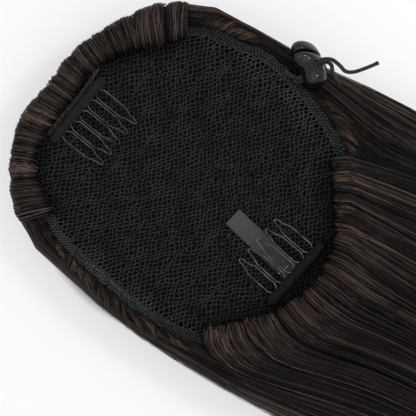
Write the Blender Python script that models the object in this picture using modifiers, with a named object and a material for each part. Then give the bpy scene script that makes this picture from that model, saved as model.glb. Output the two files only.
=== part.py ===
"""Drawstring ponytail hairpiece, lying on its hair with the net cap's hollow open upwards.

Metres, +Z up. The cap's centre is the local origin, +X runs from the cap towards the tips of the tail,
and angles go anticlockwise from +X. One empty carries every piece and sets the whole on the floor.
"""

import math
from collections import namedtuple

import bmesh
import bpy
from mathutils import Matrix, Vector

# Place of the cap's centre, which puts the middle of the whole hairpiece at the origin
CAP_PLACE = (-0.18014, -0.0162, 0.0)

# Net cap: a shallow bowl whose rim is higher on the tail's side
NET_THICK = 0.0012
NET_FLOOR = 0.015
RIM_HEIGHT = 0.038
RIM_TILT = 0.004
BOWL_POWER = 2.2
NET_RINGS = (0.2, 0.4, 0.6, 0.7, 0.8, 0.88, 0.95)
NET_EDGE_INSET = 0.0001
ANGLE_STEP = 5

# Elastic casing round the rim, an oval in section
CASING_OFFSET = 0.0028
CASING_HALF_WIDTH = 0.0025
CASING_HALF_HEIGHT = 0.0014
CASING_SIDES = 8

# Hair: where it lies under the net, outside the casing and round the bowl
PAD_REACH = 0.8
SEAT_REACH = 0.92
PAD_GAP = 0.0004
NET_CLEARANCE = 0.0005
CASING_OUTSIDE = 0.0060
PART_GAP_DEGREES = 0.25
ROLL_START, ROLL_END = 125, 230
FAN_START, FAN_END = -45, 45

# Front roll
ROLL_RISE = 0.008
ROLL_LIP = 0.0016
ROLL_LOCK_DEPTH = 0.0022

# Tail
TAIL_LIP = 0.0045
FAN_OFFSET = 0.008
FAN_LEAVE = 0.014
FAN_ARRIVE = 0.030
FAN_X = 0.150
TAIL_DRIFT = 0.12
TAIL_EDGE_DROP = 0.2
TAIL_RIDGE = 0.0020
TIP_X = 0.436
TIP_NOTCH = 0.020
TIP_WAVE = 0.007
TIP_HEIGHT = 0.002
STRAND_GAP = 0.0004
SIDE_RUN_ON = 0.006

# Wire comb: five hairpin teeth of one wire, held in a folded strip of cloth
TOOTH_COUNT = 5
TOOTH_PITCH = 0.0066
WIRE_RADIUS = 0.0004
TOOTH_LENGTH = 0.0252
TOOTH_SAG = 0.0015
LINK_DEPTH = 0.0024
BAR_LENGTH = 0.040
BAR_DEPTH = 0.0046
BAR_HEIGHT = 0.0034
SLOT_DEPTH = 0.0034
SLOT_HEIGHT = 0.0015
BAR_CORNER = 0.0004

# Ribbon label under the back comb
LABEL_WIDTH = 0.0105
LABEL_THICK = 0.0008
LABEL_NEAR = (0.0712, -0.0038)
LABEL_FAR = (0.0303, 0.0014)
LABEL_STATIONS = 9
LABEL_CLEARANCE = 0.0007

# Cord lock, in its own axes: X its wide way, Y its thickness, Z from the barrel to the button
LOCK_MOUTH = (0.0149, 0.0834, 0.0446)
LOCK_WIDE = (0.722, 0.248, -0.646)
LOCK_AXIS = (-0.659, 0.530, -0.534)
LOCK_SIDES = 16
BORE_HALF_WIDE = 0.0046
BORE_HALF_THICK = 0.0032
BORE_DEPTH = 0.0105
CORD_HOLE_HALF_WIDE = 0.0031
CORD_HOLE_HALF_HIGH = 0.0016
CORD_HOLE_DEPTH = 0.0055

# Elastic drawstring
CORD_RADIUS = 0.0010

RimRow = namedtuple("RimRow", "degrees radius")
RIM = (
    RimRow(0, 0.0840),
    RimRow(15, 0.0835),
    RimRow(30, 0.0780),
    RimRow(45, 0.0765),
    RimRow(60, 0.0725),
    RimRow(75, 0.0705),
    RimRow(90, 0.0710),
    RimRow(105, 0.0700),
    RimRow(120, 0.0720),
    RimRow(135, 0.0685),
    RimRow(150, 0.0700),
    RimRow(165, 0.0715),
    RimRow(180, 0.0690),
    RimRow(195, 0.0715),
    RimRow(210, 0.0735),
    RimRow(225, 0.0665),
    RimRow(240, 0.0630),
    RimRow(255, 0.0590),
    RimRow(270, 0.0580),
    RimRow(285, 0.0610),
    RimRow(300, 0.0670),
    RimRow(315, 0.0745),
    RimRow(330, 0.0770),
    RimRow(345, 0.0815),
)

# Outer edge of the front roll
RollRow = namedtuple("RollRow", "degrees radius")
ROLL = (
    RollRow(120, 0.0880),
    RollRow(135, 0.0880),
    RollRow(150, 0.0850),
    RollRow(165, 0.0845),
    RollRow(180, 0.0815),
    RollRow(195, 0.0850),
    RollRow(210, 0.0845),
    RollRow(225, 0.0845),
    RollRow(240, 0.0800),
)

# Outer edge of the hair along each side of the cap, beside the rim's angle
SideRow = namedtuple("SideRow", "degrees x y")
RIGHT_SIDE = (
    SideRow(125, -0.0505, 0.0725),
    SideRow(118, -0.0410, 0.0772),
    SideRow(110, -0.0300, 0.0800),
    SideRow(100, -0.0150, 0.0820),
    SideRow(90, 0.0000, 0.0832),
    SideRow(80, 0.0130, 0.0850),
    SideRow(70, 0.0260, 0.0874),
    SideRow(60, 0.0400, 0.0908),
    SideRow(52, 0.0520, 0.0942),
    SideRow(45, 0.0630, 0.0970),
)
LEFT_SIDE = (
    SideRow(230, -0.0525, -0.0630),
    SideRow(240, -0.0400, -0.0680),
    SideRow(250, -0.0250, -0.0706),
    SideRow(260, -0.0090, -0.0724),
    SideRow(270, 0.0050, -0.0734),
    SideRow(280, 0.0190, -0.0736),
    SideRow(290, 0.0330, -0.0735),
    SideRow(300, 0.0470, -0.0730),
    SideRow(308, 0.0590, -0.0721),
    SideRow(315, 0.0700, -0.0706),
)

# Section of the side hair from the casing out to the hair's edge and down to the floor
StrandRow = namedtuple("StrandRow", "across height")
SIDE_SECTION = (
    StrandRow(0.12, 0.99),
    StrandRow(0.28, 0.96),
    StrandRow(0.36, 0.89),
    StrandRow(0.54, 0.88),
    StrandRow(0.62, 0.79),
    StrandRow(0.78, 0.75),
    StrandRow(0.85, 0.63),
    StrandRow(0.95, 0.52),
    StrandRow(0.97, 0.40),
    StrandRow(1.00, 0.28),
    StrandRow(0.95, 0.10),
    StrandRow(0.78, 0.00),
)

# Height of the hair over the fan, from the rim to where the strands run straight
FanRow = namedtuple("FanRow", "along height")
FAN = (
    FanRow(0.00, 0.0540),
    FanRow(0.12, 0.0575),
    FanRow(0.26, 0.0580),
    FanRow(0.42, 0.0550),
    FanRow(0.60, 0.0505),
    FanRow(0.80, 0.0455),
    FanRow(1.00, 0.0410),
)

# Straight part of the tail: outer edges, the middle mass's edges between them, and the height
TailRow = namedtuple("TailRow", "x left_edge left_lane right_lane right_edge height")
TAIL = (
    TailRow(0.150, -0.060, -0.036, 0.080, 0.106, 0.0410),
    TailRow(0.200, -0.050, -0.028, 0.080, 0.103, 0.0350),
    TailRow(0.260, -0.035, -0.016, 0.078, 0.098, 0.0290),
    TailRow(0.320, -0.017, -0.002, 0.075, 0.091, 0.0230),
    TailRow(0.370, -0.001, 0.011, 0.071, 0.084, 0.0170),
    TailRow(0.410, 0.013, 0.022, 0.067, 0.077, 0.0110),
)

# Half of one hairpin tooth, from the cloth strip to the rounded tip
ToothRow = namedtuple("ToothRow", "along half_width")
TOOTH = (
    ToothRow(-0.0006, 0.00120),
    ToothRow(0.0024, 0.00265),
    ToothRow(0.0160, 0.00265),
    ToothRow(0.0196, 0.00145),
    ToothRow(0.0240, 0.00090),
    ToothRow(0.0250, 0.00055),
)

# Combs: middle of the strip's front face, the way the teeth point, and how far they dip
CombRow = namedtuple("CombRow", "name x y z heading dip")
COMBS = (
    CombRow("front_comb", -0.0607, -0.0020, 0.0334, -2.5, 19.0),
    CombRow("back_comb", 0.0693, -0.0026, 0.0387, 175.0, 24.0),
)

# Cord lock: oval sections along its axis
LockRow = namedtuple("LockRow", "along half_wide half_thick")
LOCK_BODY = (
    LockRow(-0.0150, 0.0022, 0.0020),
    LockRow(-0.0143, 0.0042, 0.0038),
    LockRow(-0.0123, 0.0057, 0.0051),
    LockRow(-0.0090, 0.0062, 0.0057),
    LockRow(-0.0055, 0.0061, 0.0056),
    LockRow(-0.0036, 0.0068, 0.0055),
    LockRow(-0.0027, 0.0098, 0.0056),
    LockRow(-0.0008, 0.0107, 0.0057),
    LockRow(0.0000, 0.0102, 0.0053),
)
LOCK_BUTTON = (
    LockRow(-0.0034, 0.0041, 0.0027),
    LockRow(0.0027, 0.0041, 0.0027),
    LockRow(0.0028, 0.0080, 0.0044),
    LockRow(0.0038, 0.0093, 0.0051),
    LockRow(0.0070, 0.0090, 0.0049),
    LockRow(0.0092, 0.0070, 0.0039),
    LockRow(0.0103, 0.0034, 0.0020),
)

# Routes of the drawstring's visible lengths: through the lock's wall in its axes, the rest in the cap's
CordRoute = namedtuple("CordRoute", "in_lock outside")
CORD_ROUTES = {
    "drawstring_left": CordRoute(
        ((-0.00135, 0.0046, -0.0055), (-0.0014, 0.0068, -0.0054)),
        ((0.0150, 0.0737, 0.0440), (0.0126, 0.0732, 0.0431), (0.0104, 0.0732, 0.0421), (0.0089, 0.0732, 0.0409)),
    ),
    "drawstring_right": CordRoute(
        ((0.00135, 0.0046, -0.0055), (0.0013, 0.0068, -0.0056)),
        ((0.0172, 0.0735, 0.0422), (0.0158, 0.0727, 0.0419), (0.0145, 0.0721, 0.0411)),
    ),
    "cord_end_far": CordRoute(
        ((-0.00135, -0.0046, -0.0055), (-0.00135, -0.0066, -0.0055)),
        (
            (0.0199, 0.0868, 0.0530), (0.0232, 0.0890, 0.0528), (0.0280, 0.0898, 0.0486), (0.0320, 0.0902, 0.0438),
            (0.0358, 0.0934, 0.0400), (0.0400, 0.0999, 0.0370), (0.0426, 0.1046, 0.0354),
        ),
    ),
    "cord_end_near": CordRoute(
        ((0.00135, -0.0046, -0.0055), (0.00135, -0.0060, -0.0055)),
        (
            (0.0219, 0.0871, 0.0503), (0.0246, 0.0877, 0.0481), (0.0277, 0.0860, 0.0426), (0.0318, 0.0854, 0.0378),
            (0.0366, 0.0853, 0.0341), (0.0449, 0.0859, 0.0329), (0.0540, 0.0868, 0.0331),
        ),
    ),
}
CORD_STEP = 0.0024


def clear_scene():
    for obj in list(bpy.data.objects):
        bpy.data.objects.remove(obj, do_unlink=True)


def make_collection(name):
    collection = bpy.data.collections.new(name)
    bpy.context.scene.collection.children.link(collection)
    return collection


def make_material(name, colour, roughness, metallic=0.0):
    material = bpy.data.materials.new(name)
    material.use_nodes = True
    shader = material.node_tree.nodes["Principled BSDF"]
    shader.inputs["Base Color"].default_value = (*colour, 1.0)
    shader.inputs["Roughness"].default_value = roughness
    shader.inputs["Metallic"].default_value = metallic
    return material


def make_empty(name, parent=None, matrix=None):
    empty = bpy.data.objects.new(name, None)
    pieces.objects.link(empty)
    empty.parent = parent
    if matrix is not None:
        empty.matrix_local = matrix
    return empty


def make_object(name, data, material, parent, collection=None):
    obj = bpy.data.objects.new(name, data)
    (collection or pieces).objects.link(obj)
    obj.parent = parent
    data.materials.append(material)
    return obj


def read_curve(rows, at):
    """The smooth curve through the rows' first two columns, read at one place."""
    last = len(rows) - 2
    first = max(0, min(last, sum(1 for row in rows if row[0] <= at) - 1))

    def slope(index):
        low, high = rows[max(index - 1, 0)], rows[min(index + 1, last + 1)]
        return (high[1] - low[1]) / (high[0] - low[0])

    start, end = rows[first], rows[first + 1]
    span = end[0] - start[0]
    t = (at - start[0]) / span
    return (
        (1 + 2 * t) * (1 - t) ** 2 * start[1]
        + t * (1 - t) ** 2 * span * slope(first)
        + t * t * (3 - 2 * t) * end[1]
        + t * t * (t - 1) * span * slope(first + 1)
    )


def rim_radius(degrees):
    around = [RimRow(row.degrees + turn, row.radius) for turn in (-360, 0, 360) for row in RIM]
    return read_curve(around, degrees)


def rim_height(degrees):
    return RIM_HEIGHT + RIM_TILT * math.cos(math.radians(degrees))


def net_height(degrees, reach):
    return NET_FLOOR + (rim_height(degrees) - NET_FLOOR) * reach**BOWL_POWER


def hair_under_net(degrees, reach):
    return net_height(degrees, reach) - NET_THICK * (1 + 0.35 * reach * reach) - NET_CLEARANCE


def polar(degrees, radius, height):
    turn = math.radians(degrees)
    return Vector((radius * math.cos(turn), radius * math.sin(turn), height))


def angles(first, last):
    """Every step between two angles, drawn in a little at both ends so that neighbours don't touch."""
    inner = [a for a in range(-360, 720, ANGLE_STEP) if first < a < last]
    return [first + PART_GAP_DEGREES, *inner, last - PART_GAP_DEGREES]


def skin(rings, wrap):
    """Faces between neighbouring rings of vertices, as a new mesh. Each ring is closed on itself."""
    bm = bmesh.new()
    rows = [[bm.verts.new(point) for point in ring] for ring in rings]
    pairs = list(zip(rows, rows[1:]))
    if wrap:
        pairs.append((rows[-1], rows[0]))
    for low, high in pairs:
        for i in range(len(low)):
            j = (i + 1) % len(low)
            bm.faces.new((low[i], low[j], high[j], high[i]))
    return bm, rows


def finish_mesh(bm, name, sharp_degrees=50):
    bmesh.ops.recalc_face_normals(bm, faces=bm.faces)
    mesh = bpy.data.meshes.new(name)
    bm.to_mesh(mesh)
    bm.free()
    mesh.shade_smooth()
    mesh.set_sharp_from_angle(angle=math.radians(sharp_degrees))
    return mesh


def capped_loft(name, rings):
    """A solid through rings of points, with a flat face at each end."""
    bm, rows = skin(rings, wrap=False)
    bm.faces.new(rows[0])
    bm.faces.new(rows[-1])
    return finish_mesh(bm, name)


def seat_points(degrees):
    """The hair's inner side at one angle: up from the floor, under the net and outside the casing."""
    radius = rim_radius(degrees)
    height = rim_height(degrees)
    pad = radius * PAD_REACH + PAD_GAP
    return [
        polar(degrees, pad, 0.0),
        polar(degrees, pad, hair_under_net(degrees, PAD_REACH)),
        polar(degrees, radius * SEAT_REACH, hair_under_net(degrees, SEAT_REACH)),
        polar(degrees, radius + 0.0012, height - 0.0026),
        polar(degrees, radius + CASING_OUTSIDE, height - 0.0012),
    ]


def lip_points(degrees, overhang):
    """The strands' turned edge, which covers the casing and a little of the net."""
    radius = rim_radius(degrees)
    height = rim_height(degrees)
    return [
        polar(degrees, radius + CASING_OUTSIDE - 0.0010, height + 0.0020),
        polar(degrees, radius - overhang + 0.0006, height + 0.0020),
        polar(degrees, radius - overhang, height + 0.0032),
    ]


def make_net_cap(parent, material):
    """Knitted net bowl: an open surface given the net's thickness on its outer side."""
    bm = bmesh.new()
    turns = range(0, 360, ANGLE_STEP)
    middle = bm.verts.new((0.0, 0.0, NET_FLOOR))
    rows = []
    for reach in NET_RINGS:
        rows.append([bm.verts.new(polar(a, rim_radius(a) * reach, net_height(a, reach))) for a in turns])
    rows.append([bm.verts.new(polar(a, rim_radius(a) - NET_EDGE_INSET, rim_height(a))) for a in turns])
    for i in range(len(turns)):
        j = (i + 1) % len(turns)
        bm.faces.new((middle, rows[0][i], rows[0][j]))
        for low, high in zip(rows, rows[1:]):
            bm.faces.new((low[i], high[i], high[j], low[j]))
    obj = make_object("net_cap", finish_mesh(bm, "net_cap"), material, parent)
    wall = obj.modifiers.new("net wall", "SOLIDIFY")
    wall.thickness = NET_THICK
    wall.offset = -1.0 if obj.data.polygons[0].normal.z > 0 else 1.0
    return obj


def make_casing(parent, material):
    """The folded hem that the elastic runs in, one closed ring round the net's edge."""
    rings = []
    for degrees in range(0, 360, ANGLE_STEP):
        ring = []
        for side in range(CASING_SIDES):
            turn = math.tau * side / CASING_SIDES
            radius = rim_radius(degrees) + CASING_OFFSET + CASING_HALF_WIDTH * math.cos(turn)
            ring.append(polar(degrees, radius, rim_height(degrees) + CASING_HALF_HEIGHT * math.sin(turn)))
        rings.append(ring)
    bm, _ = skin(rings, wrap=True)
    return make_object("elastic_casing", finish_mesh(bm, "elastic_casing"), material, parent)


def make_hair_pad(parent, material):
    """Hair folded under the bowl, flat on the floor and hollowed to the net above it."""
    rings = []
    for degrees in range(0, 360, ANGLE_STEP):
        edge = rim_radius(degrees) * PAD_REACH - PAD_GAP
        ring = [polar(degrees, edge, 0.0)]
        for reach in [r for r in NET_RINGS if r <= PAD_REACH][::-1]:
            ring.append(polar(degrees, edge * reach / PAD_REACH, hair_under_net(degrees, reach)))
        rings.append(ring)
    bm = bmesh.new()
    rows = [[bm.verts.new(point) for point in ring] for ring in rings]
    top = bm.verts.new((0.0, 0.0, hair_under_net(0, 0)))
    bottom = bm.verts.new((0.0, 0.0, 0.0))
    for low, high in zip(rows, rows[1:] + rows[:1]):
        bm.faces.new((bottom, low[0], high[0]))
        for i in range(len(low) - 1):
            bm.faces.new((low[i], low[i + 1], high[i + 1], high[i]))
        bm.faces.new((low[-1], top, high[-1]))
    return make_object("hair_pad", finish_mesh(bm, "hair_pad"), material, parent)


def make_front_roll(parent, material):
    """Short hair rolled from the net's edge over the casing and under the cap, in thick locks."""
    rings = []
    for index, degrees in enumerate(angles(ROLL_START, ROLL_END)):
        rise = index % 2
        inner = rim_radius(degrees)
        outer = read_curve(ROLL, degrees) - ROLL_LOCK_DEPTH * (1 - rise)
        height = rim_height(degrees)
        crest = height + ROLL_RISE - 0.6 * ROLL_LOCK_DEPTH * (1 - rise)
        width = outer - inner
        ring = seat_points(degrees) + lip_points(degrees, ROLL_LIP)
        ring += [
            polar(degrees, inner + 0.12 * width, crest - 0.0012),
            polar(degrees, inner + 0.45 * width, crest),
            polar(degrees, inner + 0.78 * width, crest - 0.0030),
            polar(degrees, outer - 0.0012, 0.70 * height),
            polar(degrees, outer, 0.44 * height),
            polar(degrees, outer - 0.0020, 0.18 * height),
            polar(degrees, outer - 0.0080, 0.0),
        ]
        rings.append(ring)
    return make_object("front_hair_roll", capped_loft("front_hair_roll", rings), material, parent)


def fan_lane(degrees, across):
    """A strand's way in plan, from the rim out and round to where the tail runs straight."""
    out = polar(degrees, 1.0, 0.0)
    start = out * (rim_radius(degrees) + FAN_OFFSET)
    first = TAIL[0]
    middle = (first.left_lane + first.right_lane) / 2
    half = (first.right_lane - first.left_lane) / 2
    end = Vector((FAN_X, middle + half * across, 0.0))
    ahead = Vector((1.0, TAIL_DRIFT - 0.1 * across, 0.0))
    points = (start, start + out * FAN_LEAVE, end - ahead * FAN_ARRIVE, end)
    lane = []
    for row in FAN:
        t = row.along
        weights = ((1 - t) ** 3, 3 * t * (1 - t) ** 2, 3 * t * t * (1 - t), t**3)
        lane.append(sum((p * w for p, w in zip(points, weights)), Vector()))
    return lane


def tail_lane(across):
    lane = []
    for row in TAIL[1:]:
        middle = (row.left_lane + row.right_lane) / 2
        half = (row.right_lane - row.left_lane) / 2
        lane.append(Vector((row.x, middle + half * across, 0.0)))
    return lane


def lane_heights(across):
    share = 1 - TAIL_EDGE_DROP * abs(across) ** 1.5
    return [row.height * share for row in FAN] + [row.height * share for row in TAIL[1:]]


def make_tail(parent, material):
    """The long hair: locks that leave the rim, crest over it and run side by side to their tips."""
    turns = [FAN_START, *range(FAN_START + ANGLE_STEP, FAN_END, ANGLE_STEP), FAN_END]
    rings = []
    seat_count = 0
    for index, degrees in enumerate(turns):
        across = (degrees - FAN_START) / (FAN_END - FAN_START) * 2 - 1
        lock = index % 2
        seat = seat_points(degrees) + lip_points(degrees, TAIL_LIP)
        seat.append(polar(degrees, rim_radius(degrees) - 0.001, rim_height(degrees) + 0.0085))
        seat_count = len(seat)
        plan = fan_lane(degrees, across) + tail_lane(across)
        heights = lane_heights(across)
        tops = []
        for place, height in zip(plan, heights):
            ridge = TAIL_RIDGE * (2 * lock - 1) * min(1.0, height / 0.03)
            tops.append(Vector((place.x, place.y, height + ridge)))
        step = plan[-1] - plan[-2]
        ahead = TIP_X - TIP_NOTCH * (1 - lock) + TIP_WAVE * math.sin(2.3 * index) - plan[-1].x
        tip = plan[-1] + step * (ahead / step.x)
        tops.append(Vector((tip.x, tip.y, TIP_HEIGHT)))
        floor = [Vector((p.x, p.y, 0.0)) for p in tops]
        rings.append(seat + tops + floor[::-1])
    bm, rows = skin(rings, wrap=False)
    for row in (rows[0], rows[-1]):
        tops = row[seat_count : seat_count + len(plan) + 1]
        floor = row[seat_count + len(plan) + 1 :][::-1]
        bm.faces.new([*row[:seat_count], tops[0], floor[0]])
        for i in range(len(tops) - 1):
            bm.faces.new((tops[i], tops[i + 1], floor[i + 1], floor[i]))
    return make_object("tail_hair", finish_mesh(bm, "tail_hair"), material, parent)


def side_outline(rows, degrees):
    """The outer edge beside one rim angle."""
    ordered = sorted(rows)
    x = read_curve([(row.degrees, row.x) for row in ordered], degrees)
    y = read_curve([(row.degrees, row.y) for row in ordered], degrees)
    return Vector((x, y, 0.0))


def side_ring(inner, edge, outer, height):
    """One closed section: the given inner side, then the locks out to the edge and down to the floor."""
    ring = list(inner)
    for row in SIDE_SECTION:
        place = edge.lerp(outer, row.across)
        ring.append(Vector((place.x, place.y, height * row.height)))
    return ring


def make_side_hair(name, table, lane_degrees, across, parent, material):
    """Long hair that starts beside the roll, lies along the casing and runs on as the tail's edge."""
    side = 1 if across > 0 else -1
    low, high = sorted((table[0].degrees, table[-1].degrees))
    turns = angles(low, high)
    if table[0].degrees > table[-1].degrees:
        turns = turns[::-1]
    rings = []
    for degrees in turns:
        seat = seat_points(degrees)
        height = rim_height(degrees) + 0.0012
        edge = polar(degrees, rim_radius(degrees) + CASING_OUTSIDE, 0.0)
        seat.append(Vector((edge.x, edge.y, height)))
        rings.append(side_ring(seat, edge, side_outline(table, degrees), height))
    shift = Vector((0.0, side * STRAND_GAP, 0.0))
    turned = lane_degrees + side * PART_GAP_DEGREES
    lane = [point + shift for point in fan_lane(turned, across)] + [point + shift for point in tail_lane(across)]
    heights = lane_heights(across)
    last_side = side_outline(table, table[-1].degrees)
    first_tail = TAIL[0].right_edge if side > 0 else TAIL[0].left_edge
    for index, place in enumerate(lane):
        if index < len(FAN):
            share = FAN[index].along
            ahead = (last_side.x + SIDE_RUN_ON - lane[0].x) * (1 - share)
            outer = Vector((place.x + ahead, 0.0, 0.0))
            travel = (outer.x - last_side.x) / (FAN_X - last_side.x)
            outer.y = last_side.y + (first_tail - last_side.y) * travel
        else:
            row = TAIL[index - len(FAN) + 1]
            outer = Vector((row.x, row.right_edge if side > 0 else row.left_edge, 0.0))
        top = heights[index]
        inner = [Vector((place.x, place.y, top * part)) for part in (0.0, 0.3, 0.55, 0.75, 0.9, 1.0)]
        rings.append(side_ring(inner, place, outer, top))
    tip = TIP_X - TIP_NOTCH / 2
    step = (lane[-1] - lane[-2]) * ((tip - lane[-1].x) / (lane[-1].x - lane[-2].x))
    place = lane[-1] + step
    outer = place + Vector((0.0, side * 0.006, 0.0))
    inner = [Vector((place.x, place.y, TIP_HEIGHT * part)) for part in (0.0, 0.3, 0.55, 0.75, 0.9, 1.0)]
    rings.append(side_ring(inner, place, outer, TIP_HEIGHT))
    return make_object(name, capped_loft(name, rings), material, parent)


def make_comb(row, parent, cloth, steel):
    """One wire bent into hairpin teeth, its links lying in a slot of the folded cloth strip."""
    turn = Matrix.Rotation(math.radians(row.heading - 90), 4, "Z") @ Matrix.Rotation(math.radians(-row.dip), 4, "X")
    place = make_empty(row.name, parent, Matrix.Translation((row.x, row.y, row.z)) @ turn)
    points = []
    for tooth in range(TOOTH_COUNT):
        middle = (tooth - (TOOTH_COUNT - 1) / 2) * TOOTH_PITCH
        half = [(-p.half_width, p.along) for p in TOOTH]
        up = [(-TOOTH[0].half_width, -LINK_DEPTH), *half]
        down = [(-x, y) for x, y in reversed(up)]
        points += [(middle + x, y) for x, y in [*up, (0.0, TOOTH_LENGTH), *down]]
    curve = bpy.data.curves.new(row.name + "_wire", "CURVE")
    curve.dimensions = "3D"
    curve.bevel_depth = WIRE_RADIUS
    curve.bevel_resolution = 1
    curve.use_fill_caps = True
    spline = curve.splines.new("POLY")
    spline.points.add(len(points) - 1)
    for target, (x, y) in zip(spline.points, points):
        target.co = (x, y, -TOOTH_SAG * (max(y, 0.0) / TOOTH_LENGTH) ** 2, 1.0)
    make_object(row.name + "_wire", curve, steel, place)

    strip = bpy.data.curves.new(row.name + "_bar", "CURVE")
    strip.dimensions = "2D"
    strip.fill_mode = "BOTH"
    strip.extrude = BAR_LENGTH / 2
    high, slot = BAR_HEIGHT / 2, SLOT_HEIGHT / 2
    outline = [
        (0.0, slot),
        (-SLOT_DEPTH, slot),
        (-SLOT_DEPTH, -slot),
        (0.0, -slot),
        (0.0, -high + BAR_CORNER),
        (-BAR_CORNER, -high),
        (-BAR_DEPTH + BAR_CORNER, -high),
        (-BAR_DEPTH, -high + BAR_CORNER),
        (-BAR_DEPTH, high - BAR_CORNER),
        (-BAR_DEPTH + BAR_CORNER, high),
        (-BAR_CORNER, high),
        (0.0, high - BAR_CORNER),
    ]
    loop = strip.splines.new("POLY")
    loop.points.add(len(outline) - 1)
    for target, (y, z) in zip(loop.points, outline):
        target.co = (y, z, 0.0, 1.0)
    loop.use_cyclic_u = True
    bar = make_object(row.name + "_bar", strip, cloth, place)
    bar.matrix_local = Matrix(((0, 0, 1, 0), (1, 0, 0, 0), (0, 1, 0, 0), (0, 0, 0, 1)))


def make_label(parent, material):
    """A plain folded ribbon lying on the net under the back comb's teeth."""
    near, far = Vector((*LABEL_NEAR, 0.0)), Vector((*LABEL_FAR, 0.0))
    ahead = (far - near).normalized()
    across = Vector((-ahead.y, ahead.x, 0.0)) * (LABEL_WIDTH / 2)
    rings = []
    for station in range(LABEL_STATIONS):
        place = near.lerp(far, station / (LABEL_STATIONS - 1))
        height = 0.0
        for corner in (place - across, place, place + across):
            degrees = math.degrees(math.atan2(corner.y, corner.x))
            height = max(height, net_height(degrees, corner.length / rim_radius(degrees)))
        low = Vector((0.0, 0.0, height + LABEL_CLEARANCE))
        high = low + Vector((0.0, 0.0, LABEL_THICK))
        rings.append([place - across + low, place + across + low, place + across + high, place - across + high])
    return make_object("ribbon_label", capped_loft("ribbon_label", rings), material, parent)


def oval_loft(name, rows):
    """A solid through oval sections along Z, closed by a face at each end."""
    rings = []
    for row in rows:
        ring = []
        for side in range(LOCK_SIDES):
            turn = math.tau * side / LOCK_SIDES
            ring.append(Vector((row.half_wide * math.cos(turn), row.half_thick * math.sin(turn), row.along)))
        rings.append(ring)
    return capped_loft(name, rings)


def make_cutter(name, half_x, half_y, length, matrix, parent, material):
    bm = bmesh.new()
    bmesh.ops.create_cone(bm, cap_ends=True, segments=16, radius1=1.0, radius2=1.0, depth=1.0)
    bmesh.ops.scale(bm, vec=(half_x, half_y, length), verts=bm.verts)
    cutter = make_object(name, finish_mesh(bm, name), material, parent, cutters)
    cutter.matrix_local = matrix
    cutter.hide_render = True
    cutter.display_type = "WIRE"
    return cutter


def make_cord_lock(parent, plastic):
    """Moulded barrel with a spring button in its mouth and a hole across it for the two cords."""
    wide, axis = Vector(LOCK_WIDE).normalized(), Vector(LOCK_AXIS).normalized()
    thick = axis.cross(wide).normalized()
    wide = thick.cross(axis)
    at = Matrix.Translation(LOCK_MOUTH) @ Matrix((wide, thick, axis)).transposed().to_4x4()
    place = make_empty("cord_lock", parent, at)
    body = make_object("cord_lock_body", oval_loft("cord_lock_body", LOCK_BODY), plastic, place)
    make_object("cord_lock_button", oval_loft("cord_lock_button", LOCK_BUTTON), plastic, place)
    bore = make_cutter("button_bore", BORE_HALF_WIDE, BORE_HALF_THICK, 2 * BORE_DEPTH, Matrix(), place, plastic)
    hole_at = Matrix.Translation((0.0, 0.0, -CORD_HOLE_DEPTH)) @ Matrix.Rotation(math.radians(90), 4, "X")
    hole = make_cutter("cord_hole", CORD_HOLE_HALF_WIDE, CORD_HOLE_HALF_HIGH, 0.020, hole_at, place, plastic)
    for cutter in (bore, hole):
        cut = body.modifiers.new(cutter.name, "BOOLEAN")
        cut.operation = "DIFFERENCE"
        cut.object = cutter
    return at


def smooth_route(route):
    """Evenly spread points on the smooth curve through a route's own points."""
    stops = [0.0]
    for start, end in zip(route, route[1:]):
        stops.append(stops[-1] + (Vector(end) - Vector(start)).length)
    count = math.ceil(stops[-1] / CORD_STEP)
    points = []
    for step in range(count + 1):
        at = stops[-1] * step / count
        place = [read_curve([(s, p[k]) for s, p in zip(stops, route)], at) for k in range(3)]
        points.append(Vector(place))
    return points


def make_cord(name, route, parent, material):
    curve = bpy.data.curves.new(name, "CURVE")
    curve.dimensions = "3D"
    curve.bevel_depth = CORD_RADIUS
    curve.bevel_resolution = 2
    curve.use_fill_caps = True
    points = smooth_route(route)
    spline = curve.splines.new("POLY")
    spline.points.add(len(points) - 1)
    for target, point in zip(spline.points, points):
        target.co = (*point, 1.0)
    return make_object(name, curve, material, parent)


clear_scene()
pieces = make_collection("ponytail_hairpiece")
cutters = make_collection("cutters")
whole = make_empty("hairpiece_place", None, Matrix.Translation(CAP_PLACE))

hair = make_material("hair", (0.030, 0.022, 0.018), 0.42)
net = make_material("net", (0.012, 0.012, 0.013), 0.85)
cloth = make_material("comb_cloth", (0.016, 0.016, 0.018), 0.9)
steel = make_material("comb_steel", (0.32, 0.32, 0.33), 0.35, 1.0)
satin = make_material("label_satin", (0.045, 0.045, 0.048), 0.5)
plastic = make_material("lock_plastic", (0.010, 0.010, 0.012), 0.25)
elastic = make_material("drawstring", (0.026, 0.027, 0.025), 0.8)

make_net_cap(whole, net)
make_casing(whole, net)
make_hair_pad(whole, hair)
make_front_roll(whole, hair)
make_side_hair("side_hair_right", RIGHT_SIDE, FAN_END, 1.0, whole, hair)
make_side_hair("side_hair_left", LEFT_SIDE, FAN_START, -1.0, whole, hair)
make_tail(whole, hair)
for comb in COMBS:
    make_comb(comb, whole, cloth, steel)
make_label(whole, satin)
lock_place = make_cord_lock(whole, plastic)
for cord_name, cord_route in CORD_ROUTES.items():
    inside = [lock_place @ Vector(point) for point in cord_route.in_lock]
    make_cord(cord_name, [*inside, *cord_route.outside], whole, elastic)
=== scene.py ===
"""A drawstring ponytail hairpiece as it lies on a white table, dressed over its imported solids.

The pieces follow in the order in which it is sewn: net, elastic hem, hair, combs, label, lock and cords.
Lengths are in metres. The cap's middle is at CAP, and angles round it go anticlockwise from the tail's side.
"""

import math

import bmesh
import bpy
import numpy as np
from mathutils import Matrix, Vector


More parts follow.
